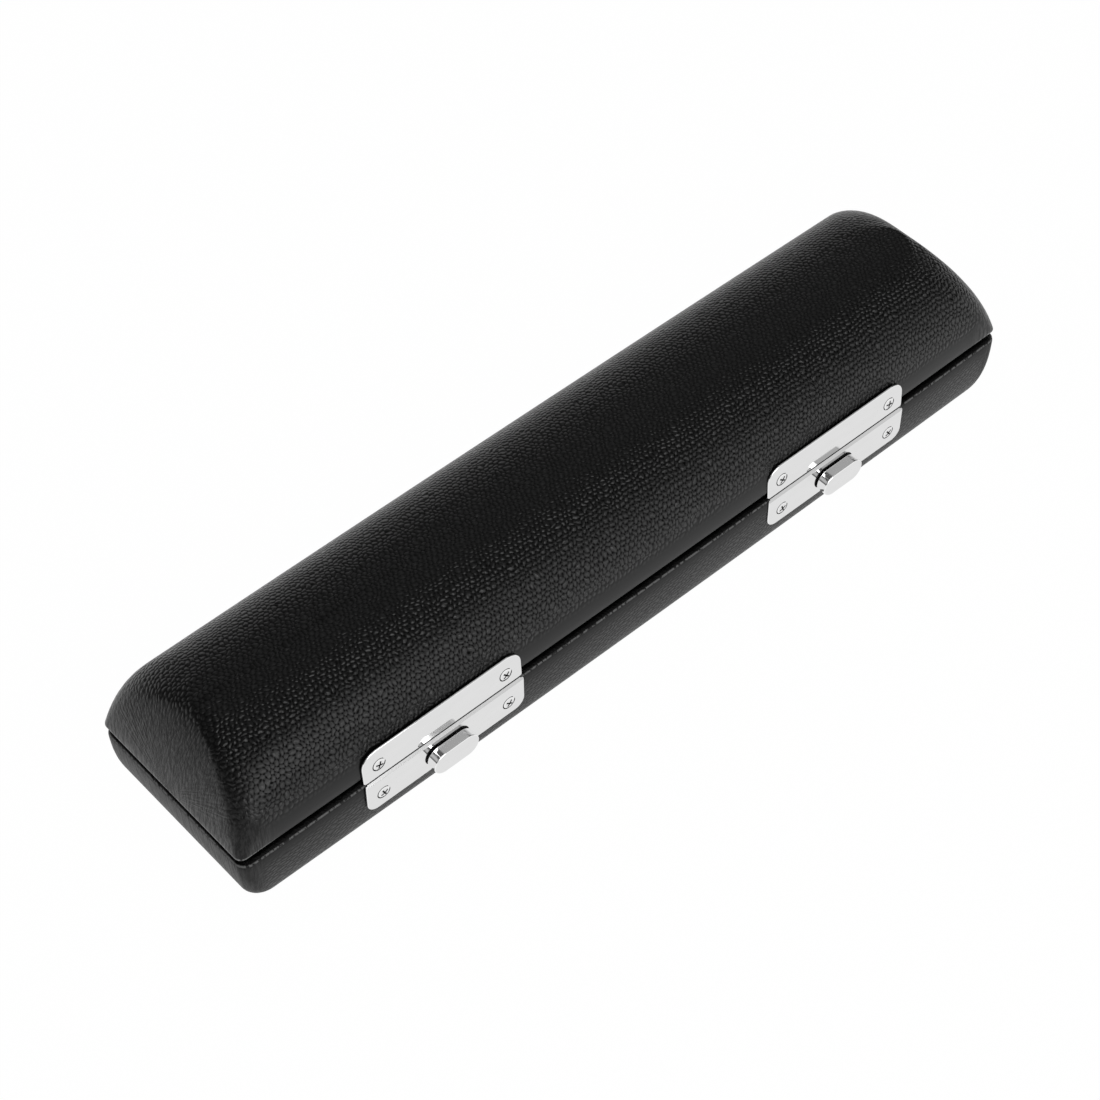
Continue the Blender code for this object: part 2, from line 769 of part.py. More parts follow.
def hinge_leaf(name, hinge, on_lid, finish_material, parent=None):
    """Leaf with its knuckles: the lid's leaf has the middle one, the base's leaf the outer two."""
    axis = hinge.lid_axis if on_lid else hinge.base_axis
    face = hinge.lid_face if on_lid else hinge.base_face
    sign = 1 if on_lid else -1
    shape = bmesh.new()
    outline = plate_outline(leaf_height, leaf_near, leaf_corner_radius, leaf_length, sign)
    add_slab(shape, outline, 0, plate_thickness)
    bevel_face(shape, plate_edge_bevel)
    leaf = finish(name, shape, finish_material, face, parent)
    half = leaf_length / 2
    middle = knuckle_middle / 2
    if on_lid:
        spans = [(-middle, middle)]
    else:
        spans = [(-half, -middle - knuckle_side_gap), (middle + knuckle_side_gap, half)]
    for number, ends in enumerate(spans):
        shape = bmesh.new()
        add_loft(shape, [[(x, y, z) for y, z in knuckle_profile(sign)] for x in ends])
        boolean(leaf, finish(f"{name}_knuckle_{number}_tool", shape, None, axis, parent), "UNION")
    shape = bmesh.new()
    radius = pin_radius + pin_clearance
    profile = [(radius, 0), (radius, leaf_length + 2 * overrun)]
    add_turned(shape, profile, (-half - overrun, 0, 0), (1, 0, 0), pin_steps)
    boolean(leaf, finish(f"{name}_bore_tool", shape, None, axis, parent))
    places = hinge.lid_screws if on_lid else hinge.base_screws
    boolean(leaf, screw_hole_tool(f"{name}_hole_tool", face, places, parent))
    return leaf


def hinge_pin(hinge, finish_material):
    shape = bmesh.new()
    length = leaf_length + 2 * pin_overhang
    profile = [(pin_radius, 0), (pin_radius, length)]
    add_turned(shape, profile, (-length / 2, 0, 0), (1, 0, 0), pin_steps)
    return finish(f"{hinge.name}_hinge_pin", shape, finish_material, hinge.axis)


def screws(name, finish_material, matrix, places, parent=None):
    """One screw in each hole of a plate."""
    for number, (x, z) in enumerate(places, start=1):
        screw(f"{name}_{number}", finish_material, matrix @ Matrix.Translation((x, 0, z)), parent)


def bore_tool(name, seats, parent=None):
    """All the screw bores of one half of the case."""
    shape = bmesh.new()
    for matrix, places in seats:
        for place in places:
            add_bore(shape, matrix, place)
    return finish(name, shape, None, None, parent)


def main():
    clear_scene()
    leather = black_leather()
    wood = pressed_wood()
    velvet = lining_velvet()
    chrome = bright_chrome()
    steel = works_steel()

    lid_pivot = pivot("lid_pivot", (0, hinge_y, hinge_z))
    latches = [Latch("left", -1), Latch("right", 1)]
    hinges = [Hinge("left", -1), Hinge("right", 1)]

    lid_walls = [lid_cover(leather, lid_pivot), lid_shell(wood, lid_pivot)]
    base_walls = [base_cover(leather), base_shell(wood)]
    lid_lining(velvet, lid_pivot)
    base_insert(velvet)

    lid_seats, base_seats = [], []
    lid_ways, pockets = bmesh.new(), bmesh.new()
    for latch in latches:
        spot = latch.button @ Vector((0, 0, -button_drop))
        slide_pivot = pivot(f"{latch.name}_button_pivot", spot)
        catch_plate(latch, chrome, lid_pivot)
        lock_plate(latch, chrome)
        button(latch, chrome, slide_pivot)
        slider(latch, steel, slide_pivot)
        hook(latch, steel, lid_pivot)
        return_spring(latch, steel)
        keeper(latch, steel)
        screws(f"{latch.name}_catch_screw", chrome, latch.upper, latch.catch_screws, lid_pivot)
        screws(f"{latch.name}_lock_screw", chrome, latch.lower, latch.lock_screws)
        lid_seats.append((latch.upper, latch.catch_screws))
        base_seats.append((latch.lower, latch.lock_screws))
        add_hook_way(lid_ways, latch, 0, hook_rise + works_clearance)
        add_pocket(pockets, latch)
    for hinge in hinges:
        hinge_leaf(f"{hinge.name}_hinge_lid_leaf", hinge, True, chrome, lid_pivot)
        hinge_leaf(f"{hinge.name}_hinge_base_leaf", hinge, False, chrome)
        hinge_pin(hinge, steel)
        screws(f"{hinge.name}_hinge_lid_screw", chrome, hinge.lid_face, hinge.lid_screws, lid_pivot)
        screws(f"{hinge.name}_hinge_base_screw", chrome, hinge.base_face, hinge.base_screws)
        lid_seats.append((hinge.lid_face, hinge.lid_screws))
        base_seats.append((hinge.base_face, hinge.base_screws))

    base_ways = bmesh.new()
    for latch in latches:
        add_hook_way(base_ways, latch, -keeper_high - works_clearance, plate_split_drop + overrun)
    lid_tools = [bore_tool("lid_bore_tool", lid_seats, lid_pivot)]
    lid_tools.append(finish("lid_way_tool", lid_ways, None, None, lid_pivot))
    base_tools = [bore_tool("base_bore_tool", base_seats)]
    base_tools.append(finish("base_pocket_tool", pockets))
    base_tools.append(finish("base_way_tool", base_ways))
    for walls, tools in ((lid_walls, lid_tools), (base_walls, base_tools)):
        for wall in walls:
            for tool in tools:
                boolean(wall, tool)


main()
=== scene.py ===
"""Flute case dressed for pictures: black leather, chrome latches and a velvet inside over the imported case.

Metres, +Z up, X along the case, latches at -Y, hinges at +Y, the origin in the middle of the underside.
"""

import math

import bmesh
import bpy
from mathutils import Matrix, Vector


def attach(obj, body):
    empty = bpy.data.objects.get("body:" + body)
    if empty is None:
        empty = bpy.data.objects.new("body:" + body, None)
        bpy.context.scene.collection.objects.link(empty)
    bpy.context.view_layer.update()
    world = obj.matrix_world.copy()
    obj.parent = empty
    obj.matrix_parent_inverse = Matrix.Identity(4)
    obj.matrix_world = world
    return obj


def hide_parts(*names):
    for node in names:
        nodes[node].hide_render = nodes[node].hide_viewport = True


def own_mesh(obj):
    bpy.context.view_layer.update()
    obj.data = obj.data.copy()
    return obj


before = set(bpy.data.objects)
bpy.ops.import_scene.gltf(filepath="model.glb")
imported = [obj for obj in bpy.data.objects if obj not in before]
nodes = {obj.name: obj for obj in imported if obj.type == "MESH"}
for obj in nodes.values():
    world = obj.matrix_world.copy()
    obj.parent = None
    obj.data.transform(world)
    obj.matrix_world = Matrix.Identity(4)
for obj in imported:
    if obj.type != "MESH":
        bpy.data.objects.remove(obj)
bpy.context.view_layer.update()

# Case body, as packed
case_length = 0.410
case_width = 0.088
side_bow = 0.001
base_height = 0.0282
seam_gap = 0.0018
lid_height = 0.0385
lid_edge_z = base_height + seam_gap
lid_end_draw = 0.018
lid_end_power = 1.37
lid_side_power = 2.6
lid_top_share = math.sin(math.radians(84)) ** (2 / lid_side_power)
lid_rim_radius = 0.0016
lid_hip_power = 0.8
base_end_draw = 0.009
base_side_draw = 0.003
base_power = 2.5
base_rim_radius = 0.0026
base_proud = 0.00105
corner_radius = 0.0025
rim_corner_radius = 0.005
corner_least = 0.0006
widest_corner_share = 0.95
crown_corner_radius = 0.018
foot_corner_radius = 0.009
leather_thickness = 0.0012
turn_inset = 0.0055
lining_inset = 0.0058
lining_thickness = 0.003
lining_rim_radius = 0.001
layer_gap = 0.0003

# Latches
split_z = base_height - 0.0006
latch_y = -0.0451306
latch_middles = {"left": -0.1084, "right": 0.1044}
plate_length = 0.079
plate_thickness = 0.0007
plate_edge = 0.00045
plate_near_radius = 0.0012
plate_corner_least = 0.0002
split_gap = 0.0003
catch_height = 0.0157
catch_corner_radius = 0.007
lock_height = 0.0172
lock_corner_radius = 0.005
lock_depth = base_proud + plate_thickness
strip_height = 0.0013
strip_bend_radius = 0.0004
lip_inset = 0.0012
screw_inset = 0.008
catch_screw_rise = 0.0068
lock_screw_drop = 0.0099
lid_lean = 0.03
base_lean = 0.02
button_length = 0.0223
button_height = 0.0113
button_back = -0.00065
button_front = -0.00525
button_edge = 0.0005
button_back_edge = 0.0003
button_drop = 0.01015
button_shift = 0.0006
button_travel = 0.005
neck_half_length = 0.004
neck_half_height = 0.0025
neck_clearance = 0.0004
rivet_radius = 0.0015

# Works behind the plates
works_gap = 0.0008
works_far = 0.0018
works_clearance = 0.0003
hook_start = 0.009
hook_end = 0.017
hook_rise = 0.009
hook_slot_low = 0.0052
hook_slot_high = 0.0029
pocket_ahead = 0.0203
pocket_behind = 0.0214
pocket_low = 0.0158
pocket_high = 0.0045
pocket_depth = 0.0043
spring_wire_radius = 0.00025
spring_radius = 0.0012
spring_length = 0.0075
spring_start = 0.01255
spring_turns = 6

# Screws
head_radius = 0.0027
head_clearance = 0.00045
shank_radius = 0.0011
shank_clearance = 0.0004
screw_length = 0.0058

# Hinges
hinge_middles = {"left": -0.106, "right": 0.106}
hinge_y = 0.0469326
hinge_z = base_height + seam_gap / 2
leaf_length = 0.050
leaf_height = 0.0115
leaf_edge = 0.0002
leaf_corner_radius = 0.003
leaf_near = 0.0021
leaf_screw_inset = 0.007
leaf_screw_rise = 0.0074
knuckle_radius = 0.0018
knuckle_middle = 0.010
knuckle_side_gap = 0.0003
pin_radius = 0.0009
pin_clearance = 0.0001
pin_overhang = 0.0006

# Insert
insert_drop = 0.001
insert_edge_radius = 0.0012
insert_floor = 0.003
insert_end_wall = 0.008
insert_side_wall = 0.006
insert_half_ridge = 0.0045
insert_top_z = base_height - insert_drop
groove_corner_radius = 0.005
groove_floor_radius = 0.006
groove_flare = 0.0012
groove_floor_z = lining_inset + insert_floor
groove_half_length = case_length / 2 - lining_inset - insert_end_wall
groove_width = case_width / 2 - lining_inset - insert_side_wall - insert_half_ridge
groove_y = insert_half_ridge + groove_width / 2
head_bay_length = 0.230
bay_bridge = 0.010

# Leather
honeycomb = 4 * math.pi / math.sqrt(3)
grain_depth = 0.0005
lid_grain_size = 0.0023
lid_arc_radius = 0.042
seam_stretch = 0.006
seam_reach = 0.009
scale_length = 0.0036
scale_height = 0.0021
crease_scale = (820, 820, 90)
pucker_scale = (800, 800, 200)
pore_scale = 2600
wear_scale = 60

# Bands in the leather, as distances over the lid from the seam, from the middle of the case, and from the rims
grain_fade = (0.008, 0.021)
grain_swell = (0.022, 0.058)
lid_creases = (0.184, 0.198)
base_creases = (0.192, 0.200)
base_grain_fade = (0.003, 0.011)
# Painted bands along the rims: a highlight line on the lid's lower edge, and on the base a shaded top with a
# highlight line below it.
lid_highlight_start = (0.0006, 0.001)
lid_highlight_end = (0.0014, 0.002)
base_highlight_start = (0.0009, 0.0014)
base_highlight_end = (0.0015, 0.0021)

# Swelling of the lining
swell_frames = 20
swell_pressure = 4.0
swell_most = 0.0018

# Fineness of the round shapes
long_steps = 64
end_steps = 14
wall_corner_steps = 10
rim_steps = 6
next_ring_share = 1.2
over = 0.001


# ---------------------------------------------------------------- shading

class Signal:
    """A value, colour or direction that runs between shader nodes. Sums on it add Math nodes."""

    def __init__(self, tree, socket=None):
        self.tree = tree
        self.socket = socket

    def node(self, kind, settings=None, inputs=None, output=0):
        """New node with its settings, then the values or signals of its sockets."""
        made = self.tree.nodes.new(kind)
        for name, value in (settings or {}).items():
            setattr(made, name, value)
        for name, value in (inputs or {}).items():
            if isinstance(value, Signal):
                self.tree.links.new(value.socket, made.inputs[name])
            else:
                made.inputs[name].default_value = value
        return Signal(self.tree, made.outputs[output])

    def sums(self, operation, *values):
        """Math node on the values."""
        return self.node("ShaderNodeMath", {"operation": operation}, dict(enumerate(values)))

    def __add__(self, other):
        return self.sums("ADD", self, other)

    def __radd__(self, other):
        return self.sums("ADD", other, self)

    def __sub__(self, other):
        return self.sums("SUBTRACT", self, other)

    def __rsub__(self, other):
        return self.sums("SUBTRACT", other, self)

    def __mul__(self, other):
        return self.sums("MULTIPLY", self, other)

    def __rmul__(self, other):
        return self.sums("MULTIPLY", other, self)

    def __truediv__(self, other):
        return self.sums("DIVIDE", self, other)

    def __pow__(self, other):
        return self.sums("POWER", self, other)

    def __abs__(self):
        return self.sums("ABSOLUTE", self)

    def least(self, other):
        """The lesser of two."""
        return self.sums("MINIMUM", self, other)

    def most(self, other):
        """The greater of two."""
        return self.sums("MAXIMUM", self, other)

    def step(self, start, end):
        """Smooth rise from 0 to 1 between two values."""
        inputs = {"Value": self, "From Min": start, "From Max": end}
        return self.node("ShaderNodeMapRange", {"interpolation_type": "SMOOTHSTEP"}, inputs)

    def along(self):
        """The X, Y and Z of a direction or place, as signals."""
        return [self.node("ShaderNodeSeparateXYZ", {}, {"Vector": self}, k) for k in range(3)]

    def scaled(self, *factors):
        """Place stretched along X, Y and Z."""
        settings = {"operation": "MULTIPLY"}
        return self.node("ShaderNodeVectorMath", settings, {0: self, 1: factors})

    def shifted(self, other):
        """Place moved by another signal."""
        return self.node("ShaderNodeVectorMath", {"operation": "ADD"}, {0: self, 1: other})

    def noise(self, scale, detail=2.0, roughness=0.5, output=0):
        """Cloudy noise at this place, by its value or its Color output."""
        inputs = {"Vector": self, "Scale": scale, "Detail": detail, "Roughness": roughness}
        return self.node("ShaderNodeTexNoise", {}, inputs, output)

    def facing(self, *direction):
        """How far this place or direction lies along a direction."""
        settings = {"operation": "DOT_PRODUCT"}
        return self.node("ShaderNodeVectorMath", settings, {0: self, 1: direction}, "Value")

    def blend(self, low, high):
        """Colour between two, by this share."""
        inputs = {0: self, 6: low, 7: high}
        return self.node("ShaderNodeMix", {"data_type": "RGBA"}, inputs, 2)


def shade(value):
    """Grey colour of one value."""
    return (value, value, value, 1)


def new_finish(name):
    """Material with a plain shader; its place signal, its shader and itself."""
    made = bpy.data.materials.new(name)
    made.use_nodes = True
    tree = made.node_tree
    place = Signal(tree).node("ShaderNodeTexCoord", {}, {}, "Object")
    return made, place, tree.nodes["Principled BSDF"]


def feed(shader, **values):
    """Sets a shader's sockets, given with underscores for spaces, to numbers, colours or signals."""
    for name, value in values.items():
        socket = shader.inputs[name.replace("_", " ")]
        if isinstance(value, Signal):
            value.tree.links.new(value.socket, socket)
        else:
            socket.default_value = value


def relief(height, depth):
    """Bumped normal from a height in shares of a depth."""
    return height.node("ShaderNodeBump", {}, {"Strength": 1.0, "Distance": depth, "Height": height}, "Normal")


def pebbles(across, along, width, length):
    """Round grains in a loose honeycomb, 0 in the corners between them and 1 on their middles.

    Three waves a sixth of a turn apart make the honeycomb; their sum runs from -1.5 to 3.
    """
    spot = across.node("ShaderNodeCombineXYZ", {}, {"X": across / width, "Y": along / length})
    sway = spot.noise(0.45, 2.0, 0.5, "Color")
    spot = spot.shifted(sway.scaled(1.8, 1.8, 0.0))
    total = 0.0
    for turn in (30, 90, 150):
        slant = math.radians(turn)
        wave = spot.facing(honeycomb * math.cos(slant), honeycomb * math.sin(slant), 0.0)
        total = wave.sums("COSINE", wave) + total
    return ((total + 1.5) / 4.5).most(0.0)


def lid_leather():
    """Pebbled black leather, smooth along the seam and drawn into fine creases over the ends."""
    made, place, shader = new_finish("lid_leather")
    x, y, z = place.along()
    turn = abs(y).sums("ARCTAN2", z - lid_edge_z, abs(y))
    climb = turn * lid_arc_radius
    drawn_long = climb + seam_stretch * climb.sums("EXPONENT", climb / -seam_reach)
    dome = pebbles(x, drawn_long, lid_grain_size, lid_grain_size)
    grain = dome ** 0.4
    drawn_in = abs(x).step(*lid_creases)
    spread = climb.step(*grain_fade) * (1.0 - drawn_in * 0.88)
    creases = place.scaled(*crease_scale).noise(1.0, 3.0, 0.6)
    pores = place.noise(pore_scale, 3.0, 0.65)
    lower = 1.0 - climb.step(*grain_swell)
    height = dome ** 0.8 * spread * (lower * 1.6 + 0.7) + creases * drawn_in + pores * 0.03
    feed(shader, Normal=relief(height, grain_depth))
    plain = 0.05 - drawn_in * 0.05 + creases.step(0.46, 0.58) * drawn_in * 0.3
    # The coat lies on the grain crowns only, more in the lower band, so the valleys between them stay dull as
    # painted shade.
    ridge = grain.step(0.2, 0.73)
    crown = ridge * spread * (lower * 0.31 + 0.11)
    feed(shader, Coat_Weight=crown + plain * (1.0 - spread), Coat_Roughness=0.3)
    worn = place.noise(wear_scale, 3.0, 0.6)
    rise = z - lid_edge_z
    # Painted highlight: a thin light line in the base colour along the lid's lower edge over the ends, broken
    # by the creases.
    edge = (rise.step(*lid_highlight_start) - rise.step(*lid_highlight_end)) * drawn_in * creases.step(0.3, 0.5)
    tone = (grain * spread * 0.6 + worn * 0.4).blend(shade(0.002), shade(0.006))
    feed(shader, Base_Color=edge.blend(tone, shade(0.16)))
    # Painted shade: metallic with the near-black colour takes the reflection out of the valleys between
    # grains, more in the lower band; the smooth bands lose about a third of their reflection.
    valley = (1.0 - ridge) * spread
    painted_valley_shade = valley * (lower * 0.5 + 0.5) + (1.0 - spread) * 0.35
    feed(shader, Metallic=painted_valley_shade, Roughness=0.24 + worn * 0.1 + pores * 0.06)
    feed(shader, Specular_IOR_Level=0.36)
    return made


def base_leather():
    """Black leather drawn tight down the walls of the base, its grain pulled into long scales."""
    made, place, shader = new_finish("base_leather")
    x, y, z = place.along()
    grain = pebbles(x - y, z, scale_length, scale_height) ** 0.4
    creases = place.scaled(*crease_scale).noise(1.0, 3.0, 0.6)
    puckers = place.scaled(*pucker_scale).noise(1.0, 2.0, 0.6)
    drop = base_height - z
    # Rim band: its top is kept black as painted shade, and the band just below it carries a painted highlight
    # line.
    rim = 1.0 - drop.step(*base_highlight_end)
    top = 1.0 - drop.step(*base_highlight_start)
    face = drop.step(*base_grain_fade)
    end = abs(x).step(*base_creases)
    pores = place.noise(pore_scale, 3.0, 0.65)
    height = grain * (1.0 - end) * face * 0.5 + creases * end + puckers * rim * 0.8 + pores * 0.06
    feed(shader, Normal=relief(height, grain_depth))
    gloss = (0.04 + grain * face * 0.32) * (1.0 - end) + creases.step(0.46, 0.58) * end * 0.14
    # The coat is left off the rim band, which helps keep the rim's top dark as painted shade.
    feed(shader, Coat_Weight=gloss * (1.0 - rim), Coat_Roughness=0.3)
    worn = place.noise(wear_scale, 3.0, 0.6)
    # Painted highlight: a light line in the base colour along the rim, broken by the puckers.
    painted_rim_highlight = rim * (1.0 - top) * puckers.step(0.4, 0.52)
    feed(shader, Base_Color=painted_rim_highlight.blend(worn.blend(shade(0.003), shade(0.007)), shade(0.11)))
    # Painted shade: metallic with the near-black colour takes the reflection off the rim's top, under the lid.
    feed(shader, Metallic=top, Roughness=0.34 + worn * 0.1 + pores * 0.06)
    feed(shader, Specular_IOR_Level=0.16)
    return made


def chrome():
    """Polished chrome with faint smears and the slight swim of pressed sheet, greyer on faces that look to the
    front; edges and other faces are painted near white as painted highlights.
    """
    made, place, shader = new_finish("polished_chrome")
    smears = place.scaled(60, 60, 240).noise(1.0, 3.0, 0.6)
    swim = place.noise(90, 1.0, 0.5)
    # Painted highlight: faces that do not look to the front (-Y), such as rolled edges and bevels, get a
    # near-white colour.
    outwards = place.node("ShaderNodeTexCoord", {}, {}, "Normal").facing(0, -1, 0).step(0.9, 0.99)
    feed(shader, Base_Color=outwards.blend(shade(0.98), smears.blend(shade(0.83), shade(0.89))))
    feed(shader, Roughness=0.05 + smears.step(0.45, 0.8) * 0.05)
    feed(shader, Metallic=1.0, Normal=relief(swim, depth=0.00003))
    return made


def works_steel():
    """Brushed steel of the parts behind the plates."""
    made, place, shader = new_finish("brushed_steel")
    lines = place.scaled(120, 5200, 5200).noise(1.0, 2.0, 0.6)
    feed(shader, Base_Color=lines.blend(shade(0.42), shade(0.58)))
    feed(shader, Roughness=0.24 + lines * 0.18, Metallic=1.0, Normal=relief(lines, depth=0.00001))
    return made


def satin_chrome():
    """Darker, duller copy of the chrome with fine lines, for a folded strip: painted shade standing in for the
    fold's dimmer reflection.
    """
    made, place, shader = new_finish("satin_chrome")
    lines = place.scaled(40, 2600, 2600).noise(1.0, 2.0, 0.6)
    feed(shader, Base_Color=lines.blend(shade(0.54), shade(0.6)))
    feed(shader, Metallic=1.0, Roughness=0.1 + lines * 0.05)
    return made


def black_oxide():
    """Painted shade: dull, mottled near-black metal put inside screw recesses, holes and the narrow gap behind
    a button, where shade falls.
    """
    made, place, shader = new_finish("black_oxide")
    # Mottling of the painted shade, from near black to dark grey.
    shade_mottle = place.noise(900, 2.0, 0.6)
    feed(shader, Base_Color=shade_mottle.blend(shade(0.006), shade(0.03)))
    feed(shader, Metallic=0.4, Roughness=0.55 + shade_mottle * 0.15)
    return made


def pressed_wood():
    """Pale brown fibreboard of the shells."""
    made, place, shader = new_finish("fibreboard")
    fibres = place.scaled(500, 2200, 2200).noise(1.0, 4.0, 0.7)
    flecks = place.noise(1500, 2.0, 0.6)
    feed(shader, Base_Color=(fibres * 0.7 + flecks * 0.3).blend((0.24, 0.15, 0.08, 1), (0.46, 0.32, 0.19, 1)))
    feed(shader, Roughness=0.62 + fibres * 0.2, Normal=relief(fibres, depth=0.00005))
    return made


def velvet():
    """Short navy pile with brushed patches."""
    made, place, shader = new_finish("navy_velvet")
    pile = place.noise(2600, 2.0, 0.7)
    brushed = place.scaled(30, 55, 55).noise(1.0, 3.0, 0.6)
    nap = pile * 0.35 + brushed.step(0.35, 0.65) * 0.65
    feed(shader, Base_Color=nap.blend((0.006, 0.009, 0.035, 1), (0.014, 0.02, 0.075, 1)))
    feed(shader, Roughness=0.82 + pile * 0.15, Normal=relief(pile, depth=0.00025))
    feed(shader, Sheen_Weight=0.55, Sheen_Roughness=0.35, Sheen_Tint=(0.35, 0.45, 0.9, 1))
    feed(shader, Specular_IOR_Level=0.1)
    return made


# ---------------------------------------------------------------- making pieces

def clear_picks():
    bpy.ops.object.select_all(action="DESELECT")


def set_active(piece):
    """Picks one piece alone, for the operators that work on the active one."""
    clear_picks()
    piece.select_set(True)
    bpy.context.view_layer.objects.active = piece


def drawn_out(name, rings):
    """Closed solid, extruded ring by ring from a filled circle whose points are set on each ring in turn."""
    clear_picks()
    bpy.ops.mesh.primitive_circle_add(vertices=len(rings[0]), radius=0.01, fill_type="NGON")
    piece = bpy.context.object
    piece.name = name
    bpy.ops.object.mode_set(mode="EDIT")
    shape = bmesh.from_edit_mesh(piece.data)
    for vertex, point in zip(shape.verts, rings[0]):
        vertex.co = point
    held = {tuple(vertex.co): k for k, vertex in enumerate(shape.verts)}
    bmesh.update_edit_mesh(piece.data)
    for ring in rings[1:]:
        bpy.ops.mesh.extrude_region_move()
        shape = bmesh.from_edit_mesh(piece.data)
        moved = {}
        for vertex in shape.verts:
            if vertex.select:
                place = held[tuple(vertex.co)]
                vertex.co = ring[place]
                moved[tuple(vertex.co)] = place
        held = moved
        bmesh.update_edit_mesh(piece.data)
    bpy.ops.mesh.select_all(action="SELECT")
    bpy.ops.mesh.normals_make_consistent(inside=False)
    bpy.ops.object.mode_set(mode="OBJECT")
    return piece


def box(name, low, high):
    """Cutter or block between two corners."""
    middle = [(a + b) / 2 for a, b in zip(low, high)]
    size = [abs(b - a) for a, b in zip(low, high)]
    clear_picks()
    bpy.ops.mesh.primitive_cube_add(size=1, location=middle, scale=size)
    bpy.context.object.name = name
    bpy.ops.object.transform_apply()
    return bpy.context.object


def modified(piece, kind, **settings):
    """Modifier added to a piece and applied."""
    step = piece.modifiers.new(kind.lower(), kind)
    for name, value in settings.items():
        setattr(step, name, value)
    set_active(piece)
    bpy.ops.object.modifier_apply(modifier=step.name)


def tinted(piece, *finishes, every=0):
    """Puts finishes into a piece's slots, and one of them on all its faces. A cutter's slots stay empty."""
    for finish in finishes:
        piece.data.materials.append(finish)
    for face in piece.data.polygons:
        face.material_index = every
    return piece


def cut(piece, cutters, operation="DIFFERENCE"):
    """Booleans with the cutters, whose faces keep the slot that they have."""
    for cutter in cutters:
        modified(piece, "BOOLEAN", operation=operation, object=cutter, solver="EXACT")
        bpy.data.objects.remove(cutter, do_unlink=True)


def placed(piece, matrix):
    """Moves a piece to its seat, with the place in its mesh."""
    piece.matrix_world = matrix
    set_active(piece)
    bpy.ops.object.transform_apply()
    return piece


def copied(piece, name, matrix):
    """Copy of a piece with its own mesh, at a seat."""
    made = piece.copy()
    made.data = piece.data.copy()
    made.name = name
    bpy.context.scene.collection.objects.link(made)
    return placed(made, matrix)


def smoothed(piece, angle=32, flat_faces=True):
    """Smooth shading, with large flat faces kept flat up to their bevels."""
    set_active(piece)
    bpy.ops.object.shade_smooth_by_angle(angle=math.radians(angle))
    if flat_faces:
        modified(piece, "WEIGHTED_NORMAL", keep_sharp=True, weight=100)


def dressed(piece, body, finish, slot, *replaced):
    """Gives a piece its finish, its body and the nodes that it stands for."""
    if not piece.data.materials:
        piece.data.materials.append(finish)
    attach(piece, body)
    if replaced:
        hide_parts(*replaced)
    return piece


def arc(middle, radius, start, end, steps):
    """Points of an arc, angles in quarter turns."""
    turns = [math.pi / 2 * (start + (end - start) * k / steps) for k in range(steps + 1)]
    return [(middle[0] + radius * math.cos(a), middle[1] + radius * math.sin(a)) for a in turns]


def between(start, end, steps):
    """Points inside a straight run."""
    shares = [k / steps for k in range(1, steps)]
    return [tuple(a + (b - a) * s for a, b in zip(start, end)) for s in shares]


def quarter(radius, steps=rim_steps):
    """Depths and shrinks of the rings over a rounded edge, from its brink to its full outline."""
    if not radius:
        return [(0.0, 0.0)]
    turns = [math.pi / 2 * k / steps for k in range(steps + 1)]
    return [(radius * (1 - math.cos(turn)), radius * (1 - math.sin(turn))) for turn in turns]


def rounded(half_length, half_width, radius, side_steps, short_steps, corner_steps):
    """Rounded rectangle with points along its sides."""
    reach = half_length - radius
    run = half_width - radius
    points = arc((reach, -run), radius, -1, 0, corner_steps)
    points += between((half_length, -run), (half_length, run), short_steps)
    points += arc((reach, run), radius, 0, 1, corner_steps)
    points += between((reach, half_width), (-reach, half_width), side_steps)
    points += arc((-reach, run), radius, 1, 2, corner_steps)
    points += between((-half_length, run), (-half_length, -run), short_steps)
    points += arc((-reach, -run), radius, 2, 3, corner_steps)
    points += between((-reach, -half_width), (reach, -half_width), side_steps)
    return points


# ---------------------------------------------------------------- leather walls

def wall_ring(half_length, half_width, radius, z):
    """Outline of a wall at a height, with its long sides bowed out."""
    radius = min(max(radius, corner_least), half_width * widest_corner_share)
    ring = []
    for x, y in rounded(half_length, half_width, radius, long_steps, end_steps, wall_corner_steps):
        bow = side_bow * (1 - (2 * x / case_length) ** 2) * y / (case_width / 2)
        ring.append((x, y + bow, z))
    return ring


def drawn(share, power):
    """How much of its full draw a wall has moved in at a share of its height."""
    return 1 - (1 - min(share, 1) ** power) ** (1 / power)


def lid_ring(share, inset, shrink=0.0):
    """Outline of a lid layer at a share of its height."""
    side = drawn(share, lid_side_power)
    half_length = case_length / 2 - inset - lid_end_draw * drawn(share, lid_end_power) - shrink
    half_width = (case_width / 2 - inset) * (1 - side) - shrink
    radius = corner_radius + (crown_corner_radius - corner_radius) * share ** lid_hip_power - inset
    z = lid_edge_z + (lid_height - inset) * share / lid_top_share
    return wall_ring(half_length, half_width, radius, z)


def base_ring(share, inset, shrink=0.0):
    """Outline of a base layer, whose front stands out past the lid's at the rim."""
    draw = drawn(share, base_power)
    forwards = base_proud / 2 * (1 - draw)
    half_length = case_length / 2 - inset - base_end_draw * draw - shrink
    half_width = case_width / 2 + forwards - inset - base_side_draw * draw - shrink
    radius = rim_corner_radius + (foot_corner_radius - rim_corner_radius) * draw - inset
    ring = wall_ring(half_length, half_width, radius, base_height - (base_height - inset) * share)
    return [(x, y - forwards, z) for x, y, z in ring]


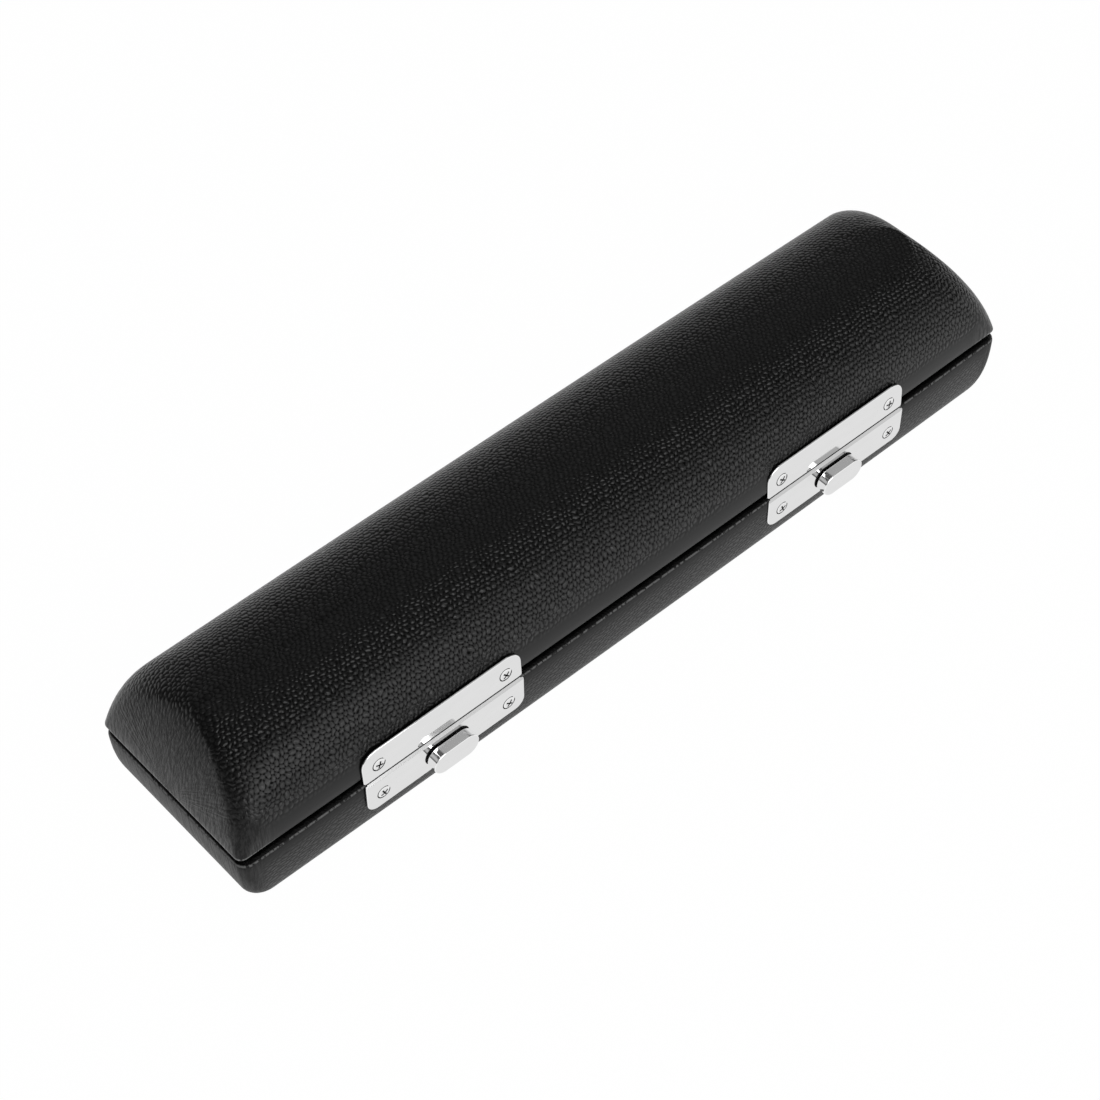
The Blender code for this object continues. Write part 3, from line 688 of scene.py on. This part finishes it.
def lid_side(inset, rim_lift, rim_radius=0.0, count=26, top=88.5):
    """Rings of one face of a lid layer, from its rim to its crown, which ends at an angle in degrees."""
    share_per_rise = lid_top_share / (lid_height - inset)
    rings = [
        lid_ring((rim_lift + rise) * share_per_rise, inset, shrink)
        for rise, shrink in quarter(rim_radius)
    ]
    start = (rim_lift + rim_radius) * share_per_rise
    for k in range(1, count + 1):
        share = math.sin(math.radians(top) * k / count) ** (2 / lid_side_power)
        if share > start * next_ring_share:
            rings.append(lid_ring(share, inset))
    return rings


def base_side(inset, rim_drop, rim_radius=0.0, count=14):
    """Rings of one face of a base layer, from its rim to its floor."""
    depth = base_height - inset
    rings = [base_ring((rim_drop + drop) / depth, inset, shrink) for drop, shrink in quarter(rim_radius)]
    start = (rim_drop + rim_radius) / depth
    for k in range(1, count + 1):
        share = math.sin(math.pi / 2 * k / count) ** (2 / base_power)
        if share > start * next_ring_share:
            rings.append(base_ring(share, inset))
    return rings


def hook_way(latch, low, high):
    """Cutter for the hook's slot, between two heights above the split."""
    start, end = latch.span(hook_start - works_clearance, hook_end + works_clearance)
    x, y, z = latch.back.translation
    far = y + works_far + works_clearance
    return box("way", (x + start, y - 2 * over, z + low), (x + end, far, z + high))


def works_pocket(latch):
    """Cutter for the hollow behind the lock plate, where the slide and its keeper lie."""
    start, end = latch.span(-pocket_behind, pocket_ahead)
    x, y, z = latch.back.translation
    low = (x + start, y - 2 * over, z - pocket_low)
    return box("pocket", low, (x + end, y + pocket_depth, z - pocket_high))


def lid_skin(latches, finish):
    """Leather of the lid, turned in over the edge of the wooden shell."""
    inner = lid_side(leather_thickness, leather_thickness, count=12, top=84)
    share = leather_thickness * lid_top_share / (lid_height - turn_inset)
    turned = [lid_ring(share, turn_inset), lid_ring(0, turn_inset)]
    skin = drawn_out("lid_skin", inner[::-1] + turned + lid_side(0, 0, lid_rim_radius))
    cut(skin, [hook_way(latch, 0, hook_rise + works_clearance) for latch in latches])
    smoothed(skin, 40, False)
    return dressed(skin, "lid", finish, "black_leather", "lid_cover")


def base_skin(latches, finish):
    """Leather of the base, turned in over the edge of the wooden shell."""
    inner = base_side(leather_thickness, leather_thickness, count=8)
    turned = [base_ring(leather_thickness / (base_height - turn_inset), turn_inset), base_ring(0, turn_inset)]
    skin = drawn_out("base_skin", inner[::-1] + turned + base_side(0, 0, base_rim_radius))
    cut(skin, [hook_way(latch, -hook_slot_low, hook_slot_high) for latch in latches])
    cut(skin, [works_pocket(latch) for latch in latches])
    smoothed(skin, 40, False)
    return dressed(skin, "base", finish, "black_leather", "base_cover")


def swollen(piece, free, pressure, most):
    """Lets a piece's free points swell by a short cloth run, each by no more than a set distance.
    """
    scene = bpy.context.scene
    kept = scene.frame_current
    rest = [vertex.co.copy() for vertex in piece.data.vertices]
    held = piece.vertex_groups.new(name="held")
    held.add([k for k in range(len(rest)) if k not in free], 1.0, "REPLACE")
    cloth = piece.modifiers.new("cloth", "CLOTH")
    cloth.settings.vertex_group_mass = "held"
    cloth.settings.use_pressure = True
    cloth.settings.uniform_pressure_force = pressure
    cloth.settings.effector_weights.gravity = 0
    cloth.settings.quality = 6
    cloth.collision_settings.use_collision = False
    cloth.point_cache.frame_start, cloth.point_cache.frame_end = 1, swell_frames
    for number in range(1, swell_frames + 1):
        scene.frame_set(number)
    set_active(piece)
    bpy.ops.object.modifier_apply(modifier=cloth.name)
    scene.frame_set(kept)
    for vertex, start in zip(piece.data.vertices, rest):
        move = vertex.co - start
        if move.length > most:
            vertex.co = start + move.normalized() * most
    piece.vertex_groups.clear()


def lid_pad(finish):
    """Padded velvet lining of the lid, swollen inside and held at its rim and along its glued back."""
    inner = lid_side(lining_inset + lining_thickness, layer_gap, count=20, top=86)[::-1]
    pad = drawn_out("lid_pad", inner + lid_side(lining_inset, layer_gap, lining_rim_radius, count=20, top=86))
    free = range(len(inner[0]) * (len(inner) - 2))
    swollen(pad, free, swell_pressure, swell_most)
    smoothed(pad, 60, False)
    return dressed(pad, "lid", finish, "lining_velvet", "lid_lining")


def bay(name, left, right, middle_y):
    """Tub-shaped cutter for one bay of the insert, flared over its soft rim."""
    half_length, middle = (right - left) / 2, (left + right) / 2
    profile = [(-groove_flare, insert_top_z + 2 * over)]
    profile += [(-flare, insert_top_z - drop) for drop, flare in quarter(groove_flare)[:-1]]
    profile += [(shrink, groove_floor_z + rise) for rise, shrink in reversed(quarter(groove_floor_radius))]
    rings = []
    for shrink, z in profile:
        radius = max(groove_corner_radius - shrink, corner_least)
        outline = rounded(half_length - shrink, groove_width / 2 - shrink, radius, 40, 6, 6)
        rings.append([(middle + x, middle_y + y, z) for x, y in outline])
    return drawn_out(name, rings)


def fitted_insert(finish):
    """Velvet-covered block with one long bay and two short ones, a bridge between them."""
    depth = base_height - lining_inset
    rings = [
        base_ring((insert_drop + drop) / depth, lining_inset, shrink)
        for drop, shrink in quarter(insert_edge_radius, 5)
    ]
    for k in range(3, 9):
        rings.append(base_ring(math.sin(math.pi / 16 * k) ** (2 / base_power), lining_inset))
    block = drawn_out("fitted_insert", rings)
    bridge_start = groove_half_length - head_bay_length - bay_bridge
    cut(block, [
        bay("body_bay", -groove_half_length, groove_half_length, groove_y),
        bay("head_bay", bridge_start + bay_bridge, groove_half_length, -groove_y),
        bay("foot_bay", -groove_half_length, bridge_start, -groove_y),
    ])
    smoothed(block, 40, False)
    return dressed(block, "base", finish, "lining_velvet", "base_insert")


# ---------------------------------------------------------------- latches

class Latch:
    """Places of one latch; its button is pushed towards the nearer end of the case."""

    def __init__(self, name, side):
        self.name = name
        self.side = side
        face = Matrix.Translation((latch_middles[name], latch_y - plate_thickness, split_z))
        inwards = Matrix.Translation((self.ahead(button_shift), 0, 0))
        self.upper = face @ Matrix.Rotation(-lid_lean, 4, "X")
        self.lower = face @ Matrix.Rotation(base_lean, 4, "X") @ Matrix.Translation((0, -base_proud, 0))
        self.button = self.lower @ inwards
        self.back = Matrix.Translation((latch_middles[name], latch_y, split_z)) @ inwards
        across = plate_length / 2 - screw_inset
        self.catch_screws = [(-across, catch_screw_rise), (across, catch_screw_rise)]
        self.lock_screws = [(-across, -lock_screw_drop), (across, -lock_screw_drop)]

    def ahead(self, distance):
        """X of a place that lies so far towards the middle of the case."""
        return -self.side * distance

    def span(self, start, end):
        """Two such places, the lesser X first."""
        return sorted((self.ahead(start), self.ahead(end)))


def plate_ring(length, near, far, near_radius, far_radius, shrink, y, sign):
    """Plate outline at a depth, small round corners at its near edge and large ones at its far edge."""
    half = length / 2 - shrink
    low, high = near + shrink, far - shrink
    small = max(near_radius - shrink, plate_corner_least)
    large = far_radius - shrink
    points = arc((-half + small, low + small), small, 2, 3, 4)
    points += between((-half + small, low), (half - small, low), 8)
    points += arc((half - small, low + small), small, 3, 4, 4)
    points += arc((half - large, high - large), large, 0, 1, 12)
    points += arc((-half + large, high - large), large, 1, 2, 12)
    return [(x, y, sign * z) for x, z in points]


def plate(name, length, near, far, far_radius, sign, edge=plate_edge):
    """Pressed plate with its outer face at y = 0 and a rolled edge, upwards or downwards by its sign."""
    sizes = (length, near, far, plate_near_radius, far_radius)
    rings = [plate_ring(*sizes, shrink, depth, sign) for depth, shrink in quarter(edge, 4)]
    return drawn_out(name, rings + [plate_ring(*sizes, 0.0, plate_thickness, sign)])


def circle_ring(radius, y, steps):
    """Circle about local Y at a depth."""
    turns = [2 * math.pi * k / steps for k in range(steps)]
    return [(radius * math.cos(t), y, radius * math.sin(t)) for t in turns]


def turned(name, profile, steps=48):
    """Solid of revolution about local Y, from a profile of radii and depths."""
    return drawn_out(name, [circle_ring(radius, y, steps) for radius, y in profile])


def countersinks(places):
    """Cutters for screw holes with a dished mouth in a plate whose outer face is at y = 0."""
    mouth, throat = head_radius + head_clearance, shank_radius + shank_clearance
    cutters = []
    for x, z in places:
        profile = [(mouth, -over), (mouth, 0.0004), (throat, plate_thickness), (throat, 3 * over)]
        cutter = tinted(turned("countersink", profile), None, None)
        # Painted shadow: the upper-left part of each hole's mouth and wall takes slot 1, the dark recess
        # shade; the hole sits 0.1 mm up and left of its screw.
        for face in cutter.data.polygons:
            face.material_index = int(face.center.z > face.center.x - over)
        cutters.append(placed(cutter, Matrix.Translation((x - 0.0001, 0, z + 0.0001))))
    return cutters


def catch_plate(latch, finish, dark):
    """Upper plate, on the lid's wall."""
    name = f"{latch.name}_upper_plate"
    made = plate(name, plate_length, split_gap / 2, catch_height, catch_corner_radius, 1)
    tinted(made, finish, dark)
    # Painted shade: the sides and back of the plate along its bottom edge take slot 1, the dark recess shade,
    # as a dark line at the split.
    for face in made.data.polygons:
        face.material_index = int(face.center.y > 0.0001 and face.center.z < 0.0004)
    cut(made, countersinks(latch.catch_screws))
    smoothed(made)
    placed(made, latch.upper)
    return dressed(made, "lid", finish, "chrome", f"{latch.name}_catch_plate")


def lock_plate(latch, finish, dark, shaded_strip):
    """Lower plate, whose top strip is folded back to the upper plate's face."""
    name = f"{latch.name}_lower_plate"
    made = plate(name, plate_length, split_gap / 2, lock_height, lock_corner_radius, -1)
    tinted(made, finish, dark, shaded_strip)
    slope = base_proud / strip_height
    half, top, inside = plate_length / 2, split_gap / 2, plate_thickness / 2
    lip = [(inside, -top), (lock_depth - slope * top, -top), (inside, -strip_height - inside / slope)]
    lip_ends = (-half + lip_inset, half - lip_inset)
    cut(made, [drawn_out("lip", [[(x, y, z) for y, z in lip] for x in lip_ends])], "UNION")
    turn, bend = math.atan(slope), strip_bend_radius
    crease = -strip_height - bend * math.tan(turn / 2)
    wedge = [(-over, crease), (-0.00001, crease)]
    for a in (turn * k / 5 for k in range(1, 6)):
        wedge.append((bend * (1 - math.cos(a)), crease + bend * math.sin(a)))
    wedge += [(base_proud + slope * over, over), (-over, over)]
    strip = drawn_out("strip", [[(x, y, z) for y, z in wedge] for x in (-half - over, half + over)])
    # The folded strip takes slot 2, the darker chrome copy, as painted shade in the fold.
    cut(made, [tinted(strip, None, None, None, every=2)])
    for face in made.data.polygons:
        if face.center.z < -strip_height and face.material_index == 2:
            face.material_index = 0
    cut(made, countersinks(latch.lock_screws))
    reach, rise = neck_half_length + neck_clearance, neck_half_height + neck_clearance
    start, end = latch.span(button_shift - reach - button_travel, button_shift + reach)
    neck_way = box("neck_way", (start, -2 * over, -button_drop - rise), (end, 4 * over, -button_drop + rise))
    # Painted shade: the walls of the neck's slot take slot 1, the dark recess shade.
    cut(made, [tinted(neck_way, None, None, every=1)])
    smoothed(made)
    placed(made, latch.lower)
    return dressed(made, "base", finish, "chrome", f"{latch.name}_lock_plate")


def obround(shrink, y):
    """Round-ended outline of the button at a depth."""
    radius = button_height / 2 - shrink
    reach = (button_length - button_height) / 2
    points = arc((reach, 0), radius, -1, 1, 20) + arc((-reach, 0), radius, 1, 3, 20)
    return [(x, y, z - button_drop) for x, z in points]


def slide_button(latch, finish, dark):
    """Oblong push button on its neck, with the rivet behind."""
    rings = [obround(shrink, button_back - depth) for depth, shrink in quarter(button_back_edge, 3)]
    rings += [obround(shrink, button_front + depth) for depth, shrink in reversed(quarter(button_edge))]
    made = tinted(drawn_out(f"{latch.name}_push_button", rings), finish, dark)
    # Painted shade: the button's back, its neck and its rivet take slot 1, the dark recess shade, so the gap
    # behind the button reads dark.
    for face in made.data.polygons:
        face.material_index = int(face.center.y > button_back - 0.0002)
    neck_low = (-neck_half_length, -3 * over, -button_drop - neck_half_height)
    neck_high = (neck_half_length, lock_depth, -button_drop + neck_half_height)
    neck = box("neck", neck_low, neck_high)
    modified(neck, "BEVEL", width=0.0006, segments=3)
    far = lock_depth + works_far + works_clearance
    profile = [(rivet_radius, 0.0), (rivet_radius, far - 0.0002), (rivet_radius - 0.0003, far)]
    rivet = placed(turned("rivet", profile, 24), Matrix.Translation((0, 0, -button_drop)))
    cut(made, [tinted(part, None, None, every=1) for part in (neck, rivet)], "UNION")
    smoothed(made)
    placed(made, latch.button)
    return dressed(made, f"{latch.name}_button", finish, "chrome", f"{latch.name}_button")


def cross_screw(finish, dark):
    """Countersunk screw with a domed head and a tapered cross recess."""
    tip_radius, neck_depth, point_depth = 0.0004, 0.0008, 0.0047
    profile = [(tip_radius, -0.00042), (0.0011, -0.00040), (0.0017, -0.00032), (0.0022, -0.00018)]
    profile += [(0.0025, -0.00004), (head_radius, 0.00008), (head_radius, 0.00014), (shank_radius, neck_depth)]
    profile += [(shank_radius, point_depth), (tip_radius, screw_length)]
    made = tinted(turned("cross_screw", profile), finish, dark)
    # Painted shade: the underside of the head, the shank and the cross recess take slot 1, the dark recess
    # shade.
    for face in made.data.polygons:
        face.material_index = int(face.center.y > 0.00015)
    rings = []
    for reach, half, y in ((0.0019, 0.00042, -0.001), (0.0018, 0.00036, -0.0003), (0.0010, 0.00018, 0.0009)):
        corners = [(reach, -half), (reach, half), (half, half), (half, reach), (-half, reach), (-half, half)]
        rings.append([(x, y, z) for x, z in corners + [(-x, -z) for x, z in corners]])
    cut(made, [tinted(drawn_out("cross", rings), None, None, every=1)])
    smoothed(made, 40)
    return made


def screws(pattern, name, body, finish, matrix, places, turns, replaced):
    """One screw in each hole, each with its cross at its own angle."""
    for number, ((x, z), turn) in enumerate(zip(places, turns), start=1):
        seat = matrix @ Matrix.Translation((x, 0, z)) @ Matrix.Rotation(math.radians(turn), 4, "Y")
        made = copied(pattern, f"{name}_{number}", seat)
        dressed(made, body, finish, "chrome", f"{replaced}_{number}")


def coil(latch, finish):
    """Return spring between the slide's tail and the keeper's bent end."""
    radius = spring_radius - spring_wire_radius
    start, middle_y = latch.ahead(-spring_start), works_gap + spring_radius
    clear_picks()
    bpy.ops.mesh.primitive_circle_add(
        vertices=10, radius=spring_wire_radius, fill_type="NGON", location=(0, 0, radius)
    )
    piece = bpy.context.object
    piece.name = f"{latch.name}_coil"
    bpy.ops.object.transform_apply()
    for vertex in piece.data.vertices:
        vertex.co = (vertex.co.y, 0, radius + vertex.co.x)
    pitch = latch.ahead(-spring_length) / spring_turns
    step = piece.modifiers.new("coil", "SCREW")
    step.axis, step.screw_offset, step.iterations = "X", pitch, spring_turns
    step.steps = step.render_steps = 24
    step.use_merge_vertices = False
    bpy.ops.object.modifier_apply(modifier=step.name)
    bpy.ops.object.mode_set(mode="EDIT")
    bpy.ops.mesh.select_all(action="SELECT")
    bpy.ops.mesh.normals_make_consistent(inside=False)
    bpy.ops.object.mode_set(mode="OBJECT")
    smoothed(piece, 60, False)
    placed(piece, latch.back @ Matrix.Translation((start, middle_y, -button_drop)))
    dressed(piece, "base", finish, "works_steel", f"{latch.name}_return_spring")
    anchor = latch.back @ Vector((start + pitch * spring_turns, middle_y, -button_drop))
    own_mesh(piece)


# ---------------------------------------------------------------- hinges

class Hinge:
    """Places of one butt hinge on the back of the case."""

    def __init__(self, name):
        self.name = name
        self.axis = Matrix.Translation((hinge_middles[name], hinge_y, hinge_z))
        outwards = Matrix.Translation((0, plate_thickness - knuckle_radius, 0))
        outwards = outwards @ Matrix.Rotation(math.pi, 4, "Z")
        self.lid_axis = self.axis @ Matrix.Rotation(lid_lean, 4, "X")
        self.base_axis = self.axis @ Matrix.Rotation(-base_lean, 4, "X")
        self.lid_face = self.lid_axis @ outwards
        self.base_face = self.base_axis @ outwards
        across = leaf_length / 2 - leaf_screw_inset
        self.lid_screws = [(-across, leaf_screw_rise), (across, leaf_screw_rise)]
        self.base_screws = [(-across, -leaf_screw_rise), (across, -leaf_screw_rise)]


def knuckle(ends, sign):
    """Round knuckle with a tab down to its leaf, about the hinge's axis."""
    back, front = -knuckle_radius, plate_thickness - knuckle_radius
    reach = leaf_near + plate_thickness
    meet = 4 - math.acos(front / knuckle_radius) / (math.pi / 2)
    profile = [(back, -reach), (front, -reach)] + arc((0, 0), knuckle_radius, meet, 6, 28)
    return drawn_out("knuckle", [[(x, y, -sign * z) for y, z in profile] for x in ends])


def leaf(hinge, on_lid, finish, dark):
    """Leaf with its knuckles: the lid's leaf has the middle one, the base's leaf the outer two."""
    side, sign = ("lid", 1) if on_lid else ("base", -1)
    axis, face = (hinge.lid_axis, hinge.lid_face) if on_lid else (hinge.base_axis, hinge.base_face)
    name = f"{hinge.name}_{side}_leaf"
    made = plate(name, leaf_length, leaf_near, leaf_height, leaf_corner_radius, sign, leaf_edge)
    tinted(made, finish, dark)
    placed(made, face)
    half, inner = leaf_length / 2, knuckle_middle + knuckle_side_gap
    spans = [(-knuckle_middle, knuckle_middle)] if on_lid else [(-half, -inner), (inner, half)]
    cut(made, [placed(knuckle(ends, sign), axis) for ends in spans], "UNION")
    lay = Matrix.Rotation(math.pi / 2, 4, "Z")
    bore_radius, bore_end = pin_radius + pin_clearance, half + 2 * over
    bore = turned("bore", [(bore_radius, -bore_end), (bore_radius, bore_end)], 32)
    cut(made, [placed(bore, axis @ lay)])
    holes = countersinks(hinge.lid_screws if on_lid else hinge.base_screws)
    cut(made, [placed(hole, face) for hole in holes])
    smoothed(made)
    return dressed(made, side, finish, "chrome", f"{hinge.name}_hinge_{side}_leaf")


def pin(hinge, finish):
    """Hinge pin with rounded ends."""
    half = leaf_length / 2 + pin_overhang
    profile = [(0.0003, -half), (0.0007, -half + 0.0001), (pin_radius, -half + 0.0004)]
    profile += [(radius, -y) for radius, y in reversed(profile)]
    made = turned(f"{hinge.name}_pin", profile, 32)
    smoothed(made, 50)
    placed(made, hinge.axis @ Matrix.Rotation(math.pi / 2, 4, "Z"))
    return dressed(made, "base", finish, "works_steel", f"{hinge.name}_hinge_pin")


# ---------------------------------------------------------------- floor, light and camera

def rays(start):
    """Signals that are 1 for camera rays, mirrored rays and rays through glass."""
    kinds = ("Is Camera Ray", "Is Glossy Ray", "Is Transmission Ray")
    return [start.node("ShaderNodeLightPath", {}, {}, kind) for kind in kinds]


def studio_floor():
    """Floor that the camera sees white, with a faint shadow, and mirrors a little greyer."""
    clear_picks()
    bpy.ops.mesh.primitive_plane_add(size=12, location=(0, 0, -0.0001))
    floor = bpy.context.object
    floor.name = "studio_floor"
    made = bpy.data.materials.new("studio_floor")
    made.use_nodes = True
    tree = made.node_tree
    tree.nodes.remove(tree.nodes["Principled BSDF"])
    start = Signal(tree)
    seen, mirrored, through = rays(start)
    paint = start.node("ShaderNodeBsdfDiffuse", {}, {"Color": shade(0.9)})
    white = seen.blend(shade(0.85), shade(1.0))
    glow = start.node("ShaderNodeEmission", {}, {"Color": white, "Strength": 1.0})
    share = seen.most(mirrored).most(through) * 0.99
    both = start.node("ShaderNodeMixShader", {}, {0: share, 1: paint, 2: glow})
    tree.links.new(both.socket, tree.nodes["Material Output"].inputs["Surface"])
    floor.data.materials.append(made)


def studio_sky():
    """World: white to the camera, and to mirrors dark but for the front, the horizon and four soft panels.

    The panels lie where the camera sees them in the chrome: behind, in front, at the left and overhead.
    """
    world = bpy.data.worlds.new("studio_sky")
    bpy.context.scene.world = world
    world.use_nodes = True
    tree = world.node_tree
    start = Signal(tree)
    way = start.node("ShaderNodeTexCoord", {}, {}, "Generated")
    front = way.facing(0.3, -0.9, -0.3).step(0.36, 0.8)
    low = 1.0 - way.along()[2].step(-0.02, 0.1)
    behind = way.facing(0.418, 0.497, 0.76).step(0.955, 0.99) * 0.5
    ahead = way.facing(0.418, -0.497, 0.76).step(0.92, 0.99) * 0.3
    left = way.facing(-0.737, -0.497, 0.395).step(0.92, 0.98) * 0.45
    above = way.facing(0.418, 0.108, 0.902).step(0.965, 0.995) * 0.4
    sky = (front * 0.9 + 0.1 + behind + ahead + left + above).most(low).least(1.0)
    sky = sky.blend(shade(0.0), shade(1.0))
    seen, mirrored, through = rays(start)
    plain = mirrored.most(through).blend(shade(0.4), sky)
    colour = seen.blend(plain, shade(1.0))
    feed(tree.nodes["Background"], Color=colour, Strength=1.0)


def key_lamp():
    """Large soft lamp in front of the case and above it, turned to it."""
    place = Vector((-0.3, -1.6, 1.16))
    lamp = bpy.data.lights.new("key_lamp", "AREA")
    lamp.shape = "SQUARE"
    lamp.size = 1.8
    lamp.energy = 26
    made = bpy.data.objects.new("key_lamp", lamp)
    made.location = place
    made.rotation_euler = (-place).to_track_quat("-Z", "Y").to_euler()
    bpy.context.scene.collection.objects.link(made)


def photo_camera():
    """Camera at the photograph's view, by the directions of its own axes."""
    data = bpy.data.cameras.new("camera")
    data.sensor_width = 36.0
    data.lens = 85.985
    data.clip_start, data.clip_end = 0.01, 50
    made = bpy.data.objects.new("camera", data)
    place = (-0.46311, -0.53394, 0.83655)
    across = Vector((0.74865, -0.66261, -0.0217))
    up = Vector((0.51471, 0.56028, 0.64897))
    back = Vector((-0.41786, -0.49702, 0.76051))
    turn = Matrix((across, up, back)).transposed().to_4x4()
    made.matrix_world = Matrix.Translation(place) @ turn
    bpy.context.scene.collection.objects.link(made)
    bpy.context.scene.camera = made


# ---------------------------------------------------------------- the case

bpy.context.scene.view_settings.view_transform = "Standard"
photo_camera()
studio_floor()
studio_sky()
key_lamp()

lid_finish, base_finish = lid_leather(), base_leather()
chrome_finish, steel_finish = chrome(), works_steel()
# The recess finish is painted shade for holes and gaps; the strip finish is a darker chrome copy, painted
# shade for the fold.
recess_shade_finish, shaded_strip_finish = black_oxide(), satin_chrome()
wood_finish, velvet_finish = pressed_wood(), velvet()

latches = [Latch("left", -1), Latch("right", 1)]
hinges = [Hinge("left"), Hinge("right")]

lid_skin(latches, lid_finish)
base_skin(latches, base_finish)
lid_pad(velvet_finish)
fitted_insert(velvet_finish)

pattern = cross_screw(chrome_finish, recess_shade_finish)
for latch, turns in zip(latches, ((20, 48, 65, 35), (38, 12, 70, 55))):
    catch_plate(latch, chrome_finish, recess_shade_finish)
    lock_plate(latch, chrome_finish, recess_shade_finish, shaded_strip_finish)
    slide_button(latch, chrome_finish, recess_shade_finish)
    coil(latch, steel_finish)
    name = latch.name
    upper, lower = (latch.upper, latch.catch_screws), (latch.lower, latch.lock_screws)
    screws(pattern, f"{name}_upper_screw", "lid", chrome_finish, *upper, turns[:2], f"{name}_catch_screw")
    screws(pattern, f"{name}_lower_screw", "base", chrome_finish, *lower, turns[2:], f"{name}_lock_screw")
for hinge, turns in zip(hinges, ((15, 70, 40, 5), (52, 28, 80, 33))):
    leaf(hinge, True, chrome_finish, recess_shade_finish)
    leaf(hinge, False, chrome_finish, recess_shade_finish)
    pin(hinge, steel_finish)
    name, node_name = hinge.name, f"{hinge.name}_hinge"
    upper, lower = (hinge.lid_face, hinge.lid_screws), (hinge.base_face, hinge.base_screws)
    screws(pattern, f"{name}_lid_screw", "lid", chrome_finish, *upper, turns[:2], f"{node_name}_lid_screw")
    screws(pattern, f"{name}_base_screw", "base", chrome_finish, *lower, turns[2:], f"{node_name}_base_screw")
bpy.data.objects.remove(pattern, do_unlink=True)

for name, node in nodes.items():
    if node.hide_render:
        continue
    finish = wood_finish if name.endswith("_shell") else steel_finish
    node.data.materials.clear()
    node.data.materials.append(finish)
